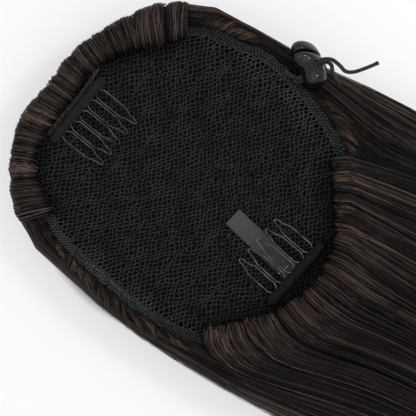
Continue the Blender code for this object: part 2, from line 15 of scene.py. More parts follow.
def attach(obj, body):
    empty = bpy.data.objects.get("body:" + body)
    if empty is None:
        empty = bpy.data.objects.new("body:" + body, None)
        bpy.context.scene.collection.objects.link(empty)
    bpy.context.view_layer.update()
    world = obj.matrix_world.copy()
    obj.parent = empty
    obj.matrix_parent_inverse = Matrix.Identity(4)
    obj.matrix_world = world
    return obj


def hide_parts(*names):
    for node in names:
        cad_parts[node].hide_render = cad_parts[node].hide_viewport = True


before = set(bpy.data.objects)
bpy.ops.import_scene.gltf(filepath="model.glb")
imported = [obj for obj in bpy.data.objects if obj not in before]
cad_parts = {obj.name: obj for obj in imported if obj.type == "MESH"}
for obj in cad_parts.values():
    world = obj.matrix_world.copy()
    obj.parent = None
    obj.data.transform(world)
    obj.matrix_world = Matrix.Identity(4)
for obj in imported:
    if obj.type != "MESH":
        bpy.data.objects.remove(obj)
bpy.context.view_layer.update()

# Studio: a white table under one broad soft light, seen from straight above.
# The camera is turned so that the tail runs to the lower right of the picture.
CAP = np.array((-0.18014, -0.0162, 0.0))
VIEW_MIDDLE = CAP + np.array((0.0178, -0.0026, 0.0))
VIEW_TURN = 36.5
VIEW_WIDTH = 0.2038
RIM_LEVEL = 0.038
LENS, SENSOR = 85.0, 36.0

scene = bpy.context.scene
scene.view_settings.view_transform = "Standard"
camera = bpy.data.objects.new("camera", bpy.data.cameras.new("camera"))
scene.collection.objects.link(camera)
camera.data.lens = LENS
camera.data.sensor_width = SENSOR
camera.data.clip_start = 0.01
camera.location = (VIEW_MIDDLE[0], VIEW_MIDDLE[1], RIM_LEVEL + VIEW_WIDTH * LENS / SENSOR)
camera.rotation_euler = (0.0, 0.0, math.radians(VIEW_TURN))
scene.camera = camera


def plain_material(name, colour, roughness):
    material = bpy.data.materials.new(name)
    material.use_nodes = True
    shader = material.node_tree.nodes["Principled BSDF"]
    shader.inputs["Base Color"].default_value = (*colour, 1.0)
    shader.inputs["Roughness"].default_value = roughness
    return material


def add_node(tree, kind, values=None, **settings):
    """A new node with its own settings, and the values of its inputs by name or by number."""
    node = tree.nodes.new(kind)
    for key, value in settings.items():
        setattr(node, key, value)
    for key, value in (values or {}).items():
        node.inputs[key].default_value = value
    return node


def wire(tree, *links):
    """Links, each given as a node, its output, the next node and its input."""
    for source, output, target, entry in links:
        tree.links.new(source.outputs[output], target.inputs[entry])


def add_ramp(tree, *stops):
    """A colour ramp through the given places and colours."""
    ramp = tree.nodes.new("ShaderNodeValToRGB")
    elements = ramp.color_ramp.elements
    elements.remove(elements[1])
    elements[0].position = stops[0][0]
    elements[0].color = (*stops[0][1], 1.0)
    for position, colour in stops[1:]:
        elements.new(position).color = (*colour, 1.0)
    return ramp


def object_noise(tree, scale, detail):
    """Noise that is fixed to the piece's own coordinates."""
    place = tree.nodes.new("ShaderNodeTexCoord")
    noise = add_node(tree, "ShaderNodeTexNoise", {"Scale": scale, "Detail": detail})
    wire(tree, (place, "Object", noise, "Vector"))
    return noise


def mesh_object(name, points, faces, material):
    mesh = bpy.data.meshes.new(name)
    mesh.from_pydata([tuple(p) for p in points], [], [tuple(f) for f in faces])
    mesh.materials.append(material)
    piece = bpy.data.objects.new(name, mesh)
    scene.collection.objects.link(piece)
    return piece


FLOOR_HALF = 1.5
FLOOR_DROP = 0.0003
TABLE_WHITE = (0.52, 0.52, 0.525)
TABLE_TONES = (0.0, (0.505, 0.505, 0.513)), (1.0, (0.535, 0.535, 0.540))
# The table has a painted glow outside the cap's edge and none under it, which lightens the shadows round the
# cap.
PAINTED_TABLE_GLOW, GLOW_COLOUR = 0.40, (0.985, 0.980, 0.985, 1.0)
UNLIT_REACH, GLOW_REACH = 0.078, 0.082


def table_material():
    """Matt white acrylic, very slightly uneven in tone, with a painted glow all round the cap that lightens the
    shadows there.
    """
    material = plain_material("white table", TABLE_WHITE, 0.7)
    tree = material.node_tree
    shader = tree.nodes["Principled BSDF"]
    shader.inputs["Emission Color"].default_value = GLOW_COLOUR
    noise = object_noise(tree, 6.0, 2.0)
    ramp = add_ramp(tree, *TABLE_TONES)
    place = tree.nodes.new("ShaderNodeTexCoord")
    reach = add_node(tree, "ShaderNodeVectorMath", {1: (CAP[0], CAP[1], -FLOOR_DROP)}, operation="DISTANCE")
    edge = {"From Min": UNLIT_REACH, "From Max": GLOW_REACH, "To Max": PAINTED_TABLE_GLOW}
    painted_glow = add_node(tree, "ShaderNodeMapRange", edge)
    wire(
        tree,
        (noise, "Fac", ramp, "Fac"),
        (ramp, "Color", shader, "Base Color"),
        (place, "Object", reach, 0),
        (reach, "Value", painted_glow, "Value"),
        (painted_glow, "Result", shader, "Emission Strength"),
    )
    return material


corners = [(x * FLOOR_HALF, y * FLOOR_HALF, -FLOOR_DROP) for x, y in ((-1, -1), (1, -1), (1, 1), (-1, 1))]
table = mesh_object("table", corners, [(0, 1, 2, 3)], table_material())

world = bpy.data.worlds.new("studio")
world.use_nodes = True
world.node_tree.nodes["Background"].inputs["Color"].default_value = (0.97, 0.98, 1.0, 1.0)
world.node_tree.nodes["Background"].inputs["Strength"].default_value = 0.71
scene.world = world

for name, place, size, power in (
    ("overhead soft box", (0.00, 0.08, 1.05), 1.5, 5.0),
    ("side fill", (0.35, -0.60, 0.85), 0.9, 0.9),
    ("small window", (0.28, 0.42, 0.80), 0.13, 1.5),
):
    light = bpy.data.objects.new(name, bpy.data.lights.new(name, "AREA"))
    light.data.shape = "SQUARE"
    light.data.size = size
    light.data.energy = power
    light.location = Vector(place) + Vector(VIEW_MIDDLE)
    light.rotation_euler = (Vector(VIEW_MIDDLE) - light.location).to_track_quat("-Z", "Y").to_euler()
    scene.collection.objects.link(light)

# Net cap: black warp-knitted mesh of fine yarn with hexagonal holes, drawn into a shallow bowl.
# The rim's radius changes round the cap as the elastic has pulled it in.
NET_FLOOR = 0.015
RIM_HEIGHT = 0.038
RIM_TILT = 0.004
BOWL_POWER = 2.2
NET_COURSE = np.array((0.000166, 0.001771))
NET_WALE = np.array((0.001235, -0.000014))
NET_STEPS, NET_WALES = 116, 72
NET_SWING = 0.43
NET_YARN = 0.00047
NET_PUCKER = 0.00045
NET_REACH = 1.03
# Uneven pulls in the knit: count of waves, shortest and longest wave, amount
BROAD_SLACK = (12, 0.006, 0.016, 0.00046)
FINE_SLACK = (12, 0.0022, 0.0045, 0.00026)
SHADE_SLACK = (8, 0.006, 0.02, 0.05)
RIM_RADIUS = np.array((
    0.0840, 0.0835, 0.0780, 0.0765, 0.0725, 0.0705, 0.0710, 0.0700, 0.0720, 0.0685, 0.0700, 0.0715,
    0.0690, 0.0715, 0.0735, 0.0665, 0.0630, 0.0590, 0.0580, 0.0610, 0.0670, 0.0745, 0.0770, 0.0815,
))


def smooth_weights(t):
    """Shares of four neighbouring values on the smooth curve through them."""
    return (
        0.5 * (-t + 2 * t**2 - t**3),
        0.5 * (2 - 5 * t**2 + 3 * t**3),
        0.5 * (t + 4 * t**2 - 3 * t**3),
        0.5 * (t**3 - t**2),
    )


def rim_radius(degrees):
    at = np.asarray(degrees, float) % 360 / 15
    first = np.floor(at).astype(int)
    shares = smooth_weights(at - first)
    return sum(share * RIM_RADIUS[(first + k - 1) % 24] for k, share in enumerate(shares))


def rim_height(degrees):
    return RIM_HEIGHT + RIM_TILT * np.cos(np.radians(degrees))


def net_height(degrees, reach):
    return NET_FLOOR + (rim_height(degrees) - NET_FLOOR) * reach**BOWL_POWER


def round_cap(degrees, radius, height):
    turn = np.radians(degrees)
    place = np.stack(np.broadcast_arrays(radius * np.cos(turn), radius * np.sin(turn), height), axis=-1)
    return place + CAP


def tube_tree():
    """Geometry Nodes that turn a mesh of loose lines into yarns, wires or strands."""
    tree = bpy.data.node_groups.new("tubes along lines", "GeometryNodeTree")
    inputs = {"Lines": "Geometry", "Sides": "Int", "Thickness": "Float", "Finish": "Material"}
    for name, kind in inputs.items():
        tree.interface.new_socket(name, in_out="INPUT", socket_type="NodeSocket" + kind)
    tree.interface.new_socket("Tubes", in_out="OUTPUT", socket_type="NodeSocketGeometry")
    given, result = tree.nodes.new("NodeGroupInput"), tree.nodes.new("NodeGroupOutput")
    to_curve = tree.nodes.new("GeometryNodeMeshToCurve")
    section = add_node(tree, "GeometryNodeCurvePrimitiveCircle", {"Radius": 1.0})
    width = add_node(tree, "GeometryNodeInputNamedAttribute", {"Name": "half_width"}, data_type="FLOAT")
    scale = add_node(tree, "ShaderNodeMath", operation="MULTIPLY")
    sweep = add_node(tree, "GeometryNodeCurveToMesh", {"Fill Caps": True})
    smooth = tree.nodes.new("GeometryNodeSetShadeSmooth")
    real = tree.nodes.new("GeometryNodeRealizeInstances")
    finish = tree.nodes.new("GeometryNodeSetMaterial")
    wire(
        tree,
        (given, "Lines", to_curve, "Mesh"),
        (given, "Sides", section, "Resolution"),
        (width, "Attribute", scale, 0),
        (given, "Thickness", scale, 1),
        (to_curve, "Curve", sweep, "Curve"),
        (section, "Curve", sweep, "Profile Curve"),
        (scale, "Value", sweep, "Scale"),
        (sweep, "Mesh", smooth, "Geometry"),
        (smooth, "Geometry", real, "Geometry"),
        (real, "Geometry", finish, "Geometry"),
        (given, "Finish", finish, "Material"),
        (finish, "Geometry", result, "Tubes"),
    )
    return tree


TUBES = tube_tree()


def make_plain(piece):
    """Put what the piece's modifiers make in place of its mesh."""
    bpy.context.view_layer.update()
    made = bpy.data.meshes.new_from_object(piece.evaluated_get(bpy.context.evaluated_depsgraph_get()))
    piece.modifiers.clear()
    piece.data = made
    made.name = piece.name


def make_tubes(name, lines, half_widths, material, sides=3, shades=None):
    """One piece of tubes along the given lines, each tapering as its own half widths say."""
    points = np.concatenate(lines)
    ends = np.cumsum([len(line) for line in lines]) - 1
    first = np.delete(np.arange(len(points)), ends)
    mesh = bpy.data.meshes.new(name)
    mesh.vertices.add(len(points))
    mesh.vertices.foreach_set("co", points.astype(np.float32).ravel())
    mesh.edges.add(len(first))
    mesh.edges.foreach_set("vertices", np.stack((first, first + 1), axis=1).astype(np.int32).ravel())
    shade = np.zeros(len(points)) if shades is None else np.concatenate(shades)
    for key, values in (("half_width", np.concatenate(half_widths)), ("shade", shade)):
        attribute = mesh.attributes.new(key, "FLOAT", "POINT")
        attribute.data.foreach_set("value", values.astype(np.float32))
    mesh.update()
    piece = bpy.data.objects.new(name, mesh)
    scene.collection.objects.link(piece)
    modifier = piece.modifiers.new("tubes", "NODES")
    modifier.node_group = TUBES
    sockets = {s.name: s.identifier for s in TUBES.interface.items_tree if s.in_out == "INPUT"}
    modifier[sockets["Sides"]] = sides
    modifier[sockets["Thickness"]] = 1.0
    modifier[sockets["Finish"]] = material
    make_plain(piece)
    return piece


def add_bump(tree, source, output, strength, distance):
    """Fine relief from a node's output on the material's shader."""
    bump = add_node(tree, "ShaderNodeBump", {"Strength": strength, "Distance": distance})
    wire(tree, (source, output, bump, "Height"), (bump, "Normal", tree.nodes["Principled BSDF"], "Normal"))


def yarn_material(name, dark, light, roughness, sheen=0.0, scale=900.0):
    """Matte spun yarn, fuzzy and of slightly uneven colour, lighter where its shade is higher."""
    material = plain_material(name, light, roughness)
    tree = material.node_tree
    shader = tree.nodes["Principled BSDF"]
    shader.inputs["Sheen Weight"].default_value = sheen
    shader.inputs["Specular IOR Level"].default_value = 0.2
    noise = object_noise(tree, scale, 3.0)
    shade = add_node(tree, "ShaderNodeAttribute", attribute_name="shade")
    total = add_node(tree, "ShaderNodeMath", operation="ADD")
    ramp = add_ramp(tree, (0.32, dark), (0.74, light), (1.0, [2.4 * value for value in light]))
    wire(
        tree,
        (noise, "Fac", total, 0),
        (shade, "Fac", total, 1),
        (total, "Value", ramp, "Fac"),
        (ramp, "Color", shader, "Base Color"),
    )
    add_bump(tree, noise, "Fac", 0.35, 0.0001)
    return material


net_yarn = yarn_material("black net yarn", (0.0040, 0.0040, 0.0046), (0.0300, 0.0300, 0.0320), 0.8)


def hump(value, middle, width):
    return np.exp(-(((value - middle) / width) ** 2))


def rising(value, start, span):
    """From 0 at the start to 1 a span further on."""
    return np.clip((value - start) / span, 0, 1)


def net_place(x, y):
    """The point of the bowl over one place of the cap's plan, and how far out it is."""
    radius = np.hypot(x, y)
    degrees = np.degrees(np.arctan2(y, x))
    reach = radius / rim_radius(degrees)
    pucker = NET_PUCKER * np.sin(x * 210 + 1.3 * np.sin(y * 90)) * np.sin(y * 160 + 0.8) * (1 - reach**4)
    return round_cap(degrees, radius, net_height(degrees, np.minimum(reach, 1.0)) + pucker), reach


def slack(rng, x, y, waves, shortest, longest, amount):
    """An uneven pull in the knit: a sum of many small random waves over the plan."""
    total = np.zeros_like(x)
    for _ in range(waves):
        turn, length = rng.uniform(0, math.tau), rng.uniform(shortest, longest)
        way = math.tau / length * (x * math.cos(turn) + y * math.sin(turn))
        total += np.sin(way + rng.uniform(0, math.tau))
    return total * amount / math.sqrt(waves)


def net_tone(degrees, reach, open_part):
    """The knit is paler where it is pulled open and beside the hem, and has painted shade under the tail's and
    the roll's overhang.
    """
    painted_shade_under_tail = np.exp(-((degrees / 42) ** 4)) * rising(reach, 0.80, 0.14)
    from_roll = np.abs((degrees + 2.5) % 360 - 180)
    painted_shade_under_roll = rising(58 - from_roll, 0, 10) * rising(reach, 0.88, 0.09)
    near_hem = rising(reach, 0.86, 0.14) * hump(degrees, -95, 45)
    return 0.20 * open_part + 0.12 * near_hem - 0.30 * painted_shade_under_tail - 0.22 * painted_shade_under_roll


def make_net():
    """Yarns that swing from side to side and meet their neighbours at the turns, round hexagonal holes."""
    lines, widths, shades = [], [], []
    step = np.arange(-NET_STEPS, NET_STEPS)
    course = (step // 2) + 0.26 * (step % 2) - 0.13
    wave = np.where((step // 2) % 2 == 0, 1.0, -1.0)
    for wale in range(-NET_WALES, NET_WALES + 1):
        side = 1 if wale % 2 else -1
        plan = course[:, None] * NET_COURSE + (wale + side * wave * NET_SWING)[:, None] * NET_WALE
        x, y = plan[:, 0], plan[:, 1]
        rng = np.random.default_rng(17)
        x = x + 0.0016 * np.sin(52 * y + 2.0) + slack(rng, x, y, *BROAD_SLACK)
        x = x + slack(rng, x, y, *FINE_SLACK)
        y = y + 0.0018 * np.sin(45 * x + 0.5) + slack(rng, x, y, *BROAD_SLACK)
        y = y + slack(rng, x, y, *FINE_SLACK)
        place, reach = net_place(x, y)
        inside = np.flatnonzero(reach < NET_REACH)
        if len(inside) < 4:
            continue
        run = slice(inside[0], inside[-1] + 1)
        x, y, place, reach = x[run], y[run], place[run], reach[run]
        degrees = np.degrees(np.arctan2(y, x))
        open_part = hump(degrees, 75, 48) * rising(reach, 0.72, 0.24)
        lines.append(place)
        widths.append(NET_YARN * np.where(side * wave[run] > 0, 1.0, 0.9) * (1 - 0.16 * open_part))
        uneven = slack(rng, x, y, *SHADE_SLACK) + rng.normal(0, 0.035, len(x))
        shades.append(net_tone(degrees, reach, open_part) + uneven)
    return make_tubes("net_mesh", lines, widths, net_yarn, sides=4, shades=shades)


net = make_net()
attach(net, "hairpiece")
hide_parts("net_cap")

# Elastic hem: the net's edge folded over a braided elastic and sewn down, slightly puckered.
# Its mesh is the same net, stretched open round the fold.
HEM_OFFSET = 0.0028
HEM_HALF_WIDTH = 0.0024
HEM_HALF_HEIGHT = 0.0014
HEM_DIAMETER = 0.148
HEM_WALES = 9
HEM_COURSE = 0.00172
HEM_YARN = 0.00040
ELASTIC_SHARE = 0.72
ELASTIC_RINGS, ELASTIC_STEPS = 8, 180
hem_yarn = yarn_material("hem yarn", (0.007, 0.007, 0.0075), (0.045, 0.046, 0.047), 0.8)
elastic_core = yarn_material("elastic inside the hem", (0.002, 0.002, 0.002), (0.006, 0.006, 0.006), 0.9)


def hem_place(degrees, section, swell):
    turn = np.radians(section)
    pucker = 0.00035 * np.sin(np.radians(degrees) * 61) + 0.0002 * np.sin(np.radians(degrees) * 23 + 1.0)
    radius = rim_radius(degrees) + HEM_OFFSET + (HEM_HALF_WIDTH * swell + pucker) * np.cos(turn)
    height = rim_height(degrees) + (HEM_HALF_HEIGHT * swell + pucker) * np.sin(turn)
    return round_cap(degrees, radius, height)


def make_hem():
    courses = 4 * int(math.pi * HEM_DIAMETER / HEM_COURSE / 2)
    step = np.arange(2 * courses + 1)
    degrees = ((step // 2) + 0.3 * (step % 2)) * 360.0 / courses
    wave = np.where((step // 2) % 2 == 0, 1.0, -1.0)
    tone = 0.36 * hump(degrees, 262, 42) + 0.26 * hump(degrees, 80, 45) - 0.12
    lines, widths, shades = [], [], []
    rng = np.random.default_rng(29)
    for wale in range(HEM_WALES):
        side = 1 if wale % 2 else -1
        uneven = 0.10 * np.sin(np.radians(degrees) * rng.integers(20, 60)) + rng.normal(0, 0.03, len(degrees))
        section = (wale + 0.42 * side * wave + uneven) * 360.0 / HEM_WALES
        lines.append(hem_place(degrees, section, 1.0))
        widths.append(np.full(len(degrees), HEM_YARN))
        shades.append(tone + rng.normal(0, 0.03, len(degrees)))
    return make_tubes("hem_mesh", lines, widths, hem_yarn, shades=shades)


def make_elastic():
    turns = np.arange(ELASTIC_STEPS) * 360.0 / ELASTIC_STEPS
    sections = np.arange(ELASTIC_RINGS) * 360.0 / ELASTIC_RINGS
    points = np.concatenate([hem_place(turns, section, ELASTIC_SHARE) for section in sections])
    faces = []
    for ring in range(ELASTIC_RINGS):
        low, high = ring * ELASTIC_STEPS, (ring + 1) % ELASTIC_RINGS * ELASTIC_STEPS
        for k in range(ELASTIC_STEPS):
            after = (k + 1) % ELASTIC_STEPS
            faces.append((low + k, low + after, high + after, high + k))
    piece = mesh_object("hem_elastic", points, faces, elastic_core)
    piece.data.shade_smooth()
    return piece


hem = make_hem()
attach(hem, "hairpiece")
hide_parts("elastic_casing")
elastic = make_elastic()
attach(elastic, "hairpiece")

# Hair: dark brown straight fibre sewn on in wefts. Each mass is a body of packed hair with strands over it.
# This part makes what all the masses share: the fibre's finish, the packed body and the way strands are laid.
FIBRE_BROWNS = (
    # place on the ramp, linear red, green, blue
    (0.00, 0.0008, 0.0006, 0.0006),
    (0.30, 0.0048, 0.0035, 0.0031),
    (0.55, 0.0190, 0.0134, 0.0118),
    (0.78, 0.0560, 0.0395, 0.0340),
    (1.00, 0.1350, 0.0930, 0.0780),
)


def fibre_material(name, browns):
    """Straight glossy fibre: each strand has its own brown, and its shade also carries painted shade where it
    lies deep.
    """
    material = plain_material(name, (0.02, 0.015, 0.012), 0.42)
    tree = material.node_tree
    shader = tree.nodes["Principled BSDF"]
    shader.inputs["Specular IOR Level"].default_value = 0.16
    ramp = add_ramp(tree, *[(position, colour) for position, *colour in browns])
    shade = add_node(tree, "ShaderNodeAttribute", attribute_name="shade")
    noise = object_noise(tree, 170.0, 2.0)
    vary = add_node(tree, "ShaderNodeMath", {1: 0.30, 2: -0.15}, operation="MULTIPLY_ADD")
    total = add_node(tree, "ShaderNodeMath", operation="ADD", use_clamp=True)
    wire(
        tree,
        (noise, "Fac", vary, 0),
        (vary, "Value", total, 0),
        (shade, "Fac", total, 1),
        (total, "Value", ramp, "Fac"),
        (ramp, "Color", shader, "Base Color"),
    )
    return material


strand_fibre = fibre_material("hair strands", FIBRE_BROWNS)
# Packed hair is coloured near black: painted shade for hair that lies deep under the strands and under the net.
packed_fibre_in_painted_shade = yarn_material("packed hair in painted shade", (0.0010, 0.0008, 0.0007), (0.0045, 0.0034, 0.0029), 0.8)
CORE_FLOOR = 0.0004
CORE_LOWEST = 0.0006
SEAT_DROP = 0.0055


def ring_faces(count, size, capped=True):
    """Faces of a skin through rings of points, with both ends closed if it is capped."""
    faces = []
    for first in range(0, (count - 1) * size, size):
        for k in range(size):
            a, b = first + k, first + (k + 1) % size
            faces.append((a, b, b + size, a + size))
    if capped:
        faces += [tuple(range(size))[::-1], tuple(range((count - 1) * size, count * size))]
    return faces


def face_outward(piece):
    form = bmesh.new()
    form.from_mesh(piece.data)
    bmesh.ops.recalc_face_normals(form, faces=form.faces)
    form.to_mesh(piece.data)
    form.free()
    piece.data.shade_smooth()


def closed_core(name, sections, seat=0.0):
    """Packed hair under the strands: a closed loft through open sections that are let down to the table.

    seat carries the inner side of each section further in under its neighbour, a little lower.
    """
    sections = np.array(sections)
    sections[..., 2] = np.maximum(sections[..., 2], CORE_LOWEST)
    first, last = sections[:, 0].copy(), sections[:, -1].copy()
    inward = sections[:, 0] - sections[:, 1]
    inward[:, 2] = 0
    inward /= np.maximum(np.linalg.norm(inward, axis=1, keepdims=True), 1e-6)
    lower = first + inward * seat
    lower[:, 2] = np.maximum(first[:, 2] - (SEAT_DROP if seat else 0.0), CORE_LOWEST)
    ends = [last * (1, 1, 0) + (0, 0, CORE_FLOOR), lower * (1, 1, 0) + (0, 0, CORE_FLOOR)]
    if seat:
        ends.append(lower)
    rings = np.concatenate([sections, np.stack(ends, axis=1)], axis=1)
    core = mesh_object(name, rings.reshape(-1, 3), ring_faces(*rings.shape[:2]), packed_fibre_in_painted_shade)
    face_outward(core)
    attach(core, "hairpiece")
    return core


def sunk(guides, depth, flip):
    """The guide surface moved in by depth along its own normals."""
    rows, columns = guides.shape[:2]
    u, v = np.meshgrid(np.arange(rows, dtype=float), np.arange(columns, dtype=float), indexing="ij")
    return guides - outward(guides, u, v, flip) * depth


def spread(guides, fractions, smoothing):
    """Guide rows resampled at the given fractions of their length, with their corners rounded."""
    fine = np.linspace(0, 1, 400)
    kernel = np.hanning(2 * smoothing + 3)[1:-1]
    kernel /= kernel.sum()
    rows = []
    for row in guides:
        length = np.concatenate(([0], np.cumsum(np.linalg.norm(np.diff(row, axis=0), axis=1))))
        line = np.stack([np.interp(fine * length[-1], length, values) for values in row.T], axis=1)
        before = 2 * line[:1] - line[smoothing:0:-1]
        after = 2 * line[-1:] - line[-2 : -smoothing - 2 : -1]
        line = np.concatenate((before, line, after))
        rounded = [np.convolve(values, kernel, mode="valid") for values in line.T]
        rows.append(np.stack([np.interp(fractions, fine, values) for values in rounded], axis=1))
    return np.array(rows)


def on_guides(guides, u, v):
    """The place at (u, v) on the smooth surface through a net of guide points."""
    rows, columns = guides.shape[:2]
    i = np.clip(np.floor(u).astype(int), 0, rows - 2)
    j = np.clip(np.floor(v).astype(int), 0, columns - 2)
    across = smooth_weights(np.clip(u, 0, rows - 1) - i)
    along = smooth_weights(np.clip(v, 0, columns - 1) - j)
    place = 0
    for a in range(4):
        for b in range(4):
            near = guides[np.clip(i + a - 1, 0, rows - 1), np.clip(j + b - 1, 0, columns - 1)]
            place = place + (across[a] * along[b])[..., None] * near
    return place


def outward(guides, u, v, flip):
    """The guide surface's unit normal at (u, v)."""
    rows, columns = guides.shape[:2]
    gap = 0.25
    before, after = np.clip(u - gap, 0, rows - 1), np.clip(u + gap, 0, rows - 1)
    across = on_guides(guides, after, v) - on_guides(guides, before, v)
    before, after = np.clip(v - gap, 0, columns - 1), np.clip(v + gap, 0, columns - 1)
    along = on_guides(guides, u, after) - on_guides(guides, u, before)
    normal = np.cross(across, along) * flip
    return normal / np.maximum(np.linalg.norm(normal, axis=-1, keepdims=True), 1e-9)


def wavy(rng, size, waves, share):
    """A smooth random curve for each of several things, from -1 to 1 or so, read at the given shares."""
    value = 0
    for wave in range(1, waves + 1):
        amount = rng.normal(0, 0.7 / wave**0.7, size)[:, None]
        value = value + amount * np.sin(math.pi * wave * share + rng.uniform(0, math.tau, size)[:, None])
    return value


WAY_SAMPLES = 64
STRAND_ENDS = (0.88, 1.0)
UNDER_SHARE = 0.22
STRAY_WANDER, STRAY_LIFT, STRAY_THICKNESS = 2.4, 0.0014, 0.75
TUFT_LIFT = 0.0009


def lay_strands(
    name, guides, count, steps, seed, locks, tufts, flip, lift, begin, drift, wander, stray, narrow, shade,
    half_width=0.00017, tuft_pull=0.70, tuft_contrast=1.0, root_painted_shade=None, tone=None,
):
    """Strands over a guide surface, in locks that are round across, each lock made of finer tufts.

    lift is how far a strand stands off the guides at a lock's borders and at its crown. drift moves whole
    locks sideways along their way and wander single strands, both in guide rows. stray is the share of
    strands that lie loose, narrow is how far a lock draws together, and shade is the strands' mean tone and
    its spread. tone lightens or darkens by the share across and the share along, partly as painted light and
    shade, and root_painted_shade is painted shade over the roots, how much and how far along.
    """
    rng = np.random.default_rng(seed)
    rows, columns = guides.shape[:2]
    u = (np.arange(count) + rng.random(count)) / count
    borders = (np.arange(1, locks) + rng.uniform(-0.38, 0.38, locks - 1)) / locks
    borders = np.concatenate(([0.0], borders, [1.0]))
    lock = np.clip(np.searchsorted(borders, u + rng.normal(0, 0.05 / locks, count)) - 1, 0, locks - 1)
    middle = (borders[lock] + borders[lock + 1])[:, None] / 2
    half = (borders[lock + 1] - borders[lock])[:, None] / 2
    first, last = rng.uniform(*begin, count), rng.uniform(*STRAND_ENDS, count)
    t = np.linspace(0, 1, steps)[None, :]
    share = first[:, None] + (last - first)[:, None] * t
    coarse = np.linspace(0, 1, WAY_SAMPLES)[None, :]
    at = np.clip(share * (WAY_SAMPLES - 1), 0, WAY_SAMPLES - 1.001)
    low = at.astype(int)
    part = at - low

    def along_way(table, index):
        return table[index[:, None], low] * (1 - part) + table[index[:, None], low + 1] * part

    tuft_count = locks * tufts
    tuft = np.minimum((u * tuft_count + rng.normal(0, 0.12, count)).clip(0).astype(int), tuft_count - 1)
    in_tuft = (u * tuft_count - tuft - 0.5)[:, None]
    sway = along_way(wavy(rng, locks, 2, coarse) * drift, lock)
    rise = along_way(0.5 + 0.5 * np.tanh(wavy(rng, locks, 3, coarse)), lock)
    tuft_sway = along_way(wavy(rng, tuft_count, 5, coarse), tuft) * 0.30 / tuft_count
    pull = tuft_pull * along_way(0.55 + 0.45 * np.tanh(wavy(rng, tuft_count, 3, coarse)), tuft)
    pulled = u[:, None] - in_tuft / tuft_count * pull + tuft_sway
    aside = np.clip((pulled - middle) / half, -1.15, 1.15)

    is_stray = rng.random(count) < stray
    is_under = (rng.random(count) < UNDER_SHARE) & ~is_stray
    is_stray, is_under = is_stray[:, None], is_under[:, None]
    own = wavy(rng, count, 4, share) * np.where(is_stray, STRAY_WANDER, 1.0) * wander
    pinch = 1 - narrow * (0.5 - 0.5 * np.cos(math.pi * share))
    settle = np.clip(np.minimum(u, 1 - u)[:, None] * 12, 0, 1)
    placed = np.where(is_under, u[:, None], middle + (aside * half) * pinch)
    across = placed * (rows - 1) + (np.where(is_under, 0, sway) + own) * settle
    across = np.clip(across, 0, rows - 1)

    crown = 1 - np.minimum(np.abs(aside), 1.0) ** 2.2
    tuft_crown = 1 - np.minimum(np.abs(in_tuft) * 2, 1.0) ** 2
    depth = rng.random(count)[:, None] ** 1.5
    height = crown * (0.45 + 0.55 * rise) * (1 - 0.35 * depth)
    off = lift[0] + (lift[1] - lift[0]) * height + TUFT_LIFT * tuft_crown * (1 - 0.6 * depth)
    off = np.where(is_under, lift[0], off) + np.where(is_stray, STRAY_LIFT, 0.0) * np.sin(math.pi * t)
    v = share * (columns - 1)
    place = on_guides(guides, across, v) + outward(guides, across, v, flip) * off[..., None]
    place[..., 2] = np.maximum(place[..., 2], CORE_FLOOR)

    thick = rng.uniform(0.75, 1.15, count)[:, None] * half_width * np.where(is_stray, STRAY_THICKNESS, 1.0)
    taper = np.clip((1 - t) / 0.10, 0.3, 1.0)
    # Own tones per strand, lock and tuft; then painted shade on low strands, the under layer and tuft edges.
    base = rng.normal(*shade, count) + rng.normal(0, 0.07, locks)[lock]
    base = base + rng.normal(0, 0.14 * tuft_contrast, tuft_count)[tuft]
    shades = base[:, None] + 0.18 * (height - 0.5) + 0.32 * tuft_contrast * (tuft_crown - 0.6)
    shades = shades - 0.16 * is_under
    # Painted shade over the roots, where the strands leave the net.
    if root_painted_shade is not None:
        shades = shades - root_painted_shade[0] * np.clip(1 - share / root_painted_shade[1], 0, 1)
    if tone is not None:
        shades = shades + tone(across / (rows - 1), share)
    shades = list(np.clip(shades, 0.02, 1.0))
    strands = make_tubes(name, list(place), list(thick * taper), strand_fibre, shades=shades)
    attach(strands, "hairpiece")


# Hair folded under the bowl: its near-black colour is painted shade, and it shows only as blackness through the
# net's holes.
# It is one closed form that follows the bowl's underside down to the table.
PAD_DROP = 0.0026
PAD_FOOT = 0.0005
PAD_SIDES = 72
PAD_SKIRT = (0.80, PAD_FOOT), (0.90, 0.0120)
PAD_REACHES = (0.985, 0.93, 0.86, 0.78, 0.68, 0.56, 0.42, 0.26, 0.10)


def make_pad():
    turns = np.arange(0, 360, 360 / PAD_SIDES)
    edge = rim_radius(turns)
    rings = [round_cap(turns, edge * share, height) for share, height in PAD_SKIRT]
    rings += [round_cap(turns, edge * reach, net_height(turns, reach) - PAD_DROP) for reach in PAD_REACHES]
    middles = [round_cap(0.0, 0.0, height) for height in (NET_FLOOR - PAD_DROP, PAD_FOOT)]
    points = [*np.concatenate(rings), *middles]
    faces = ring_faces(len(rings), PAD_SIDES, capped=False)
    last = (len(rings) - 1) * PAD_SIDES
    faces += [(last + k, last + (k + 1) % PAD_SIDES, len(points) - 2) for k in range(PAD_SIDES)]
    faces += [((k + 1) % PAD_SIDES, k, len(points) - 1) for k in range(PAD_SIDES)]
    pad = mesh_object("hair_under_net", points, faces, packed_fibre_in_painted_shade)
    pad.data.shade_smooth()
    return pad


pad = make_pad()
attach(pad, "hairpiece")
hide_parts("hair_pad")

# Front roll: short hair that leaves the net's inner edge, rolls over the hem and is tucked under the cap.
# It ends on the right in a sharp parting and on the left in a folded tuft.
ROLL_START, ROLL_END = 124.6, 230.4
ROLL_RISE = 0.0074
STRAND_ALLOWANCE = 0.0008
ROLL_ANGLES = np.array((105, 120, 135, 150, 165, 180, 195, 210, 225, 240, 255), float)
ROLL_EDGE = np.array((0.0868, 0.0915, 0.0918, 0.0876, 0.0864, 0.0838, 0.0888, 0.0870, 0.0866, 0.0815, 0.0760))


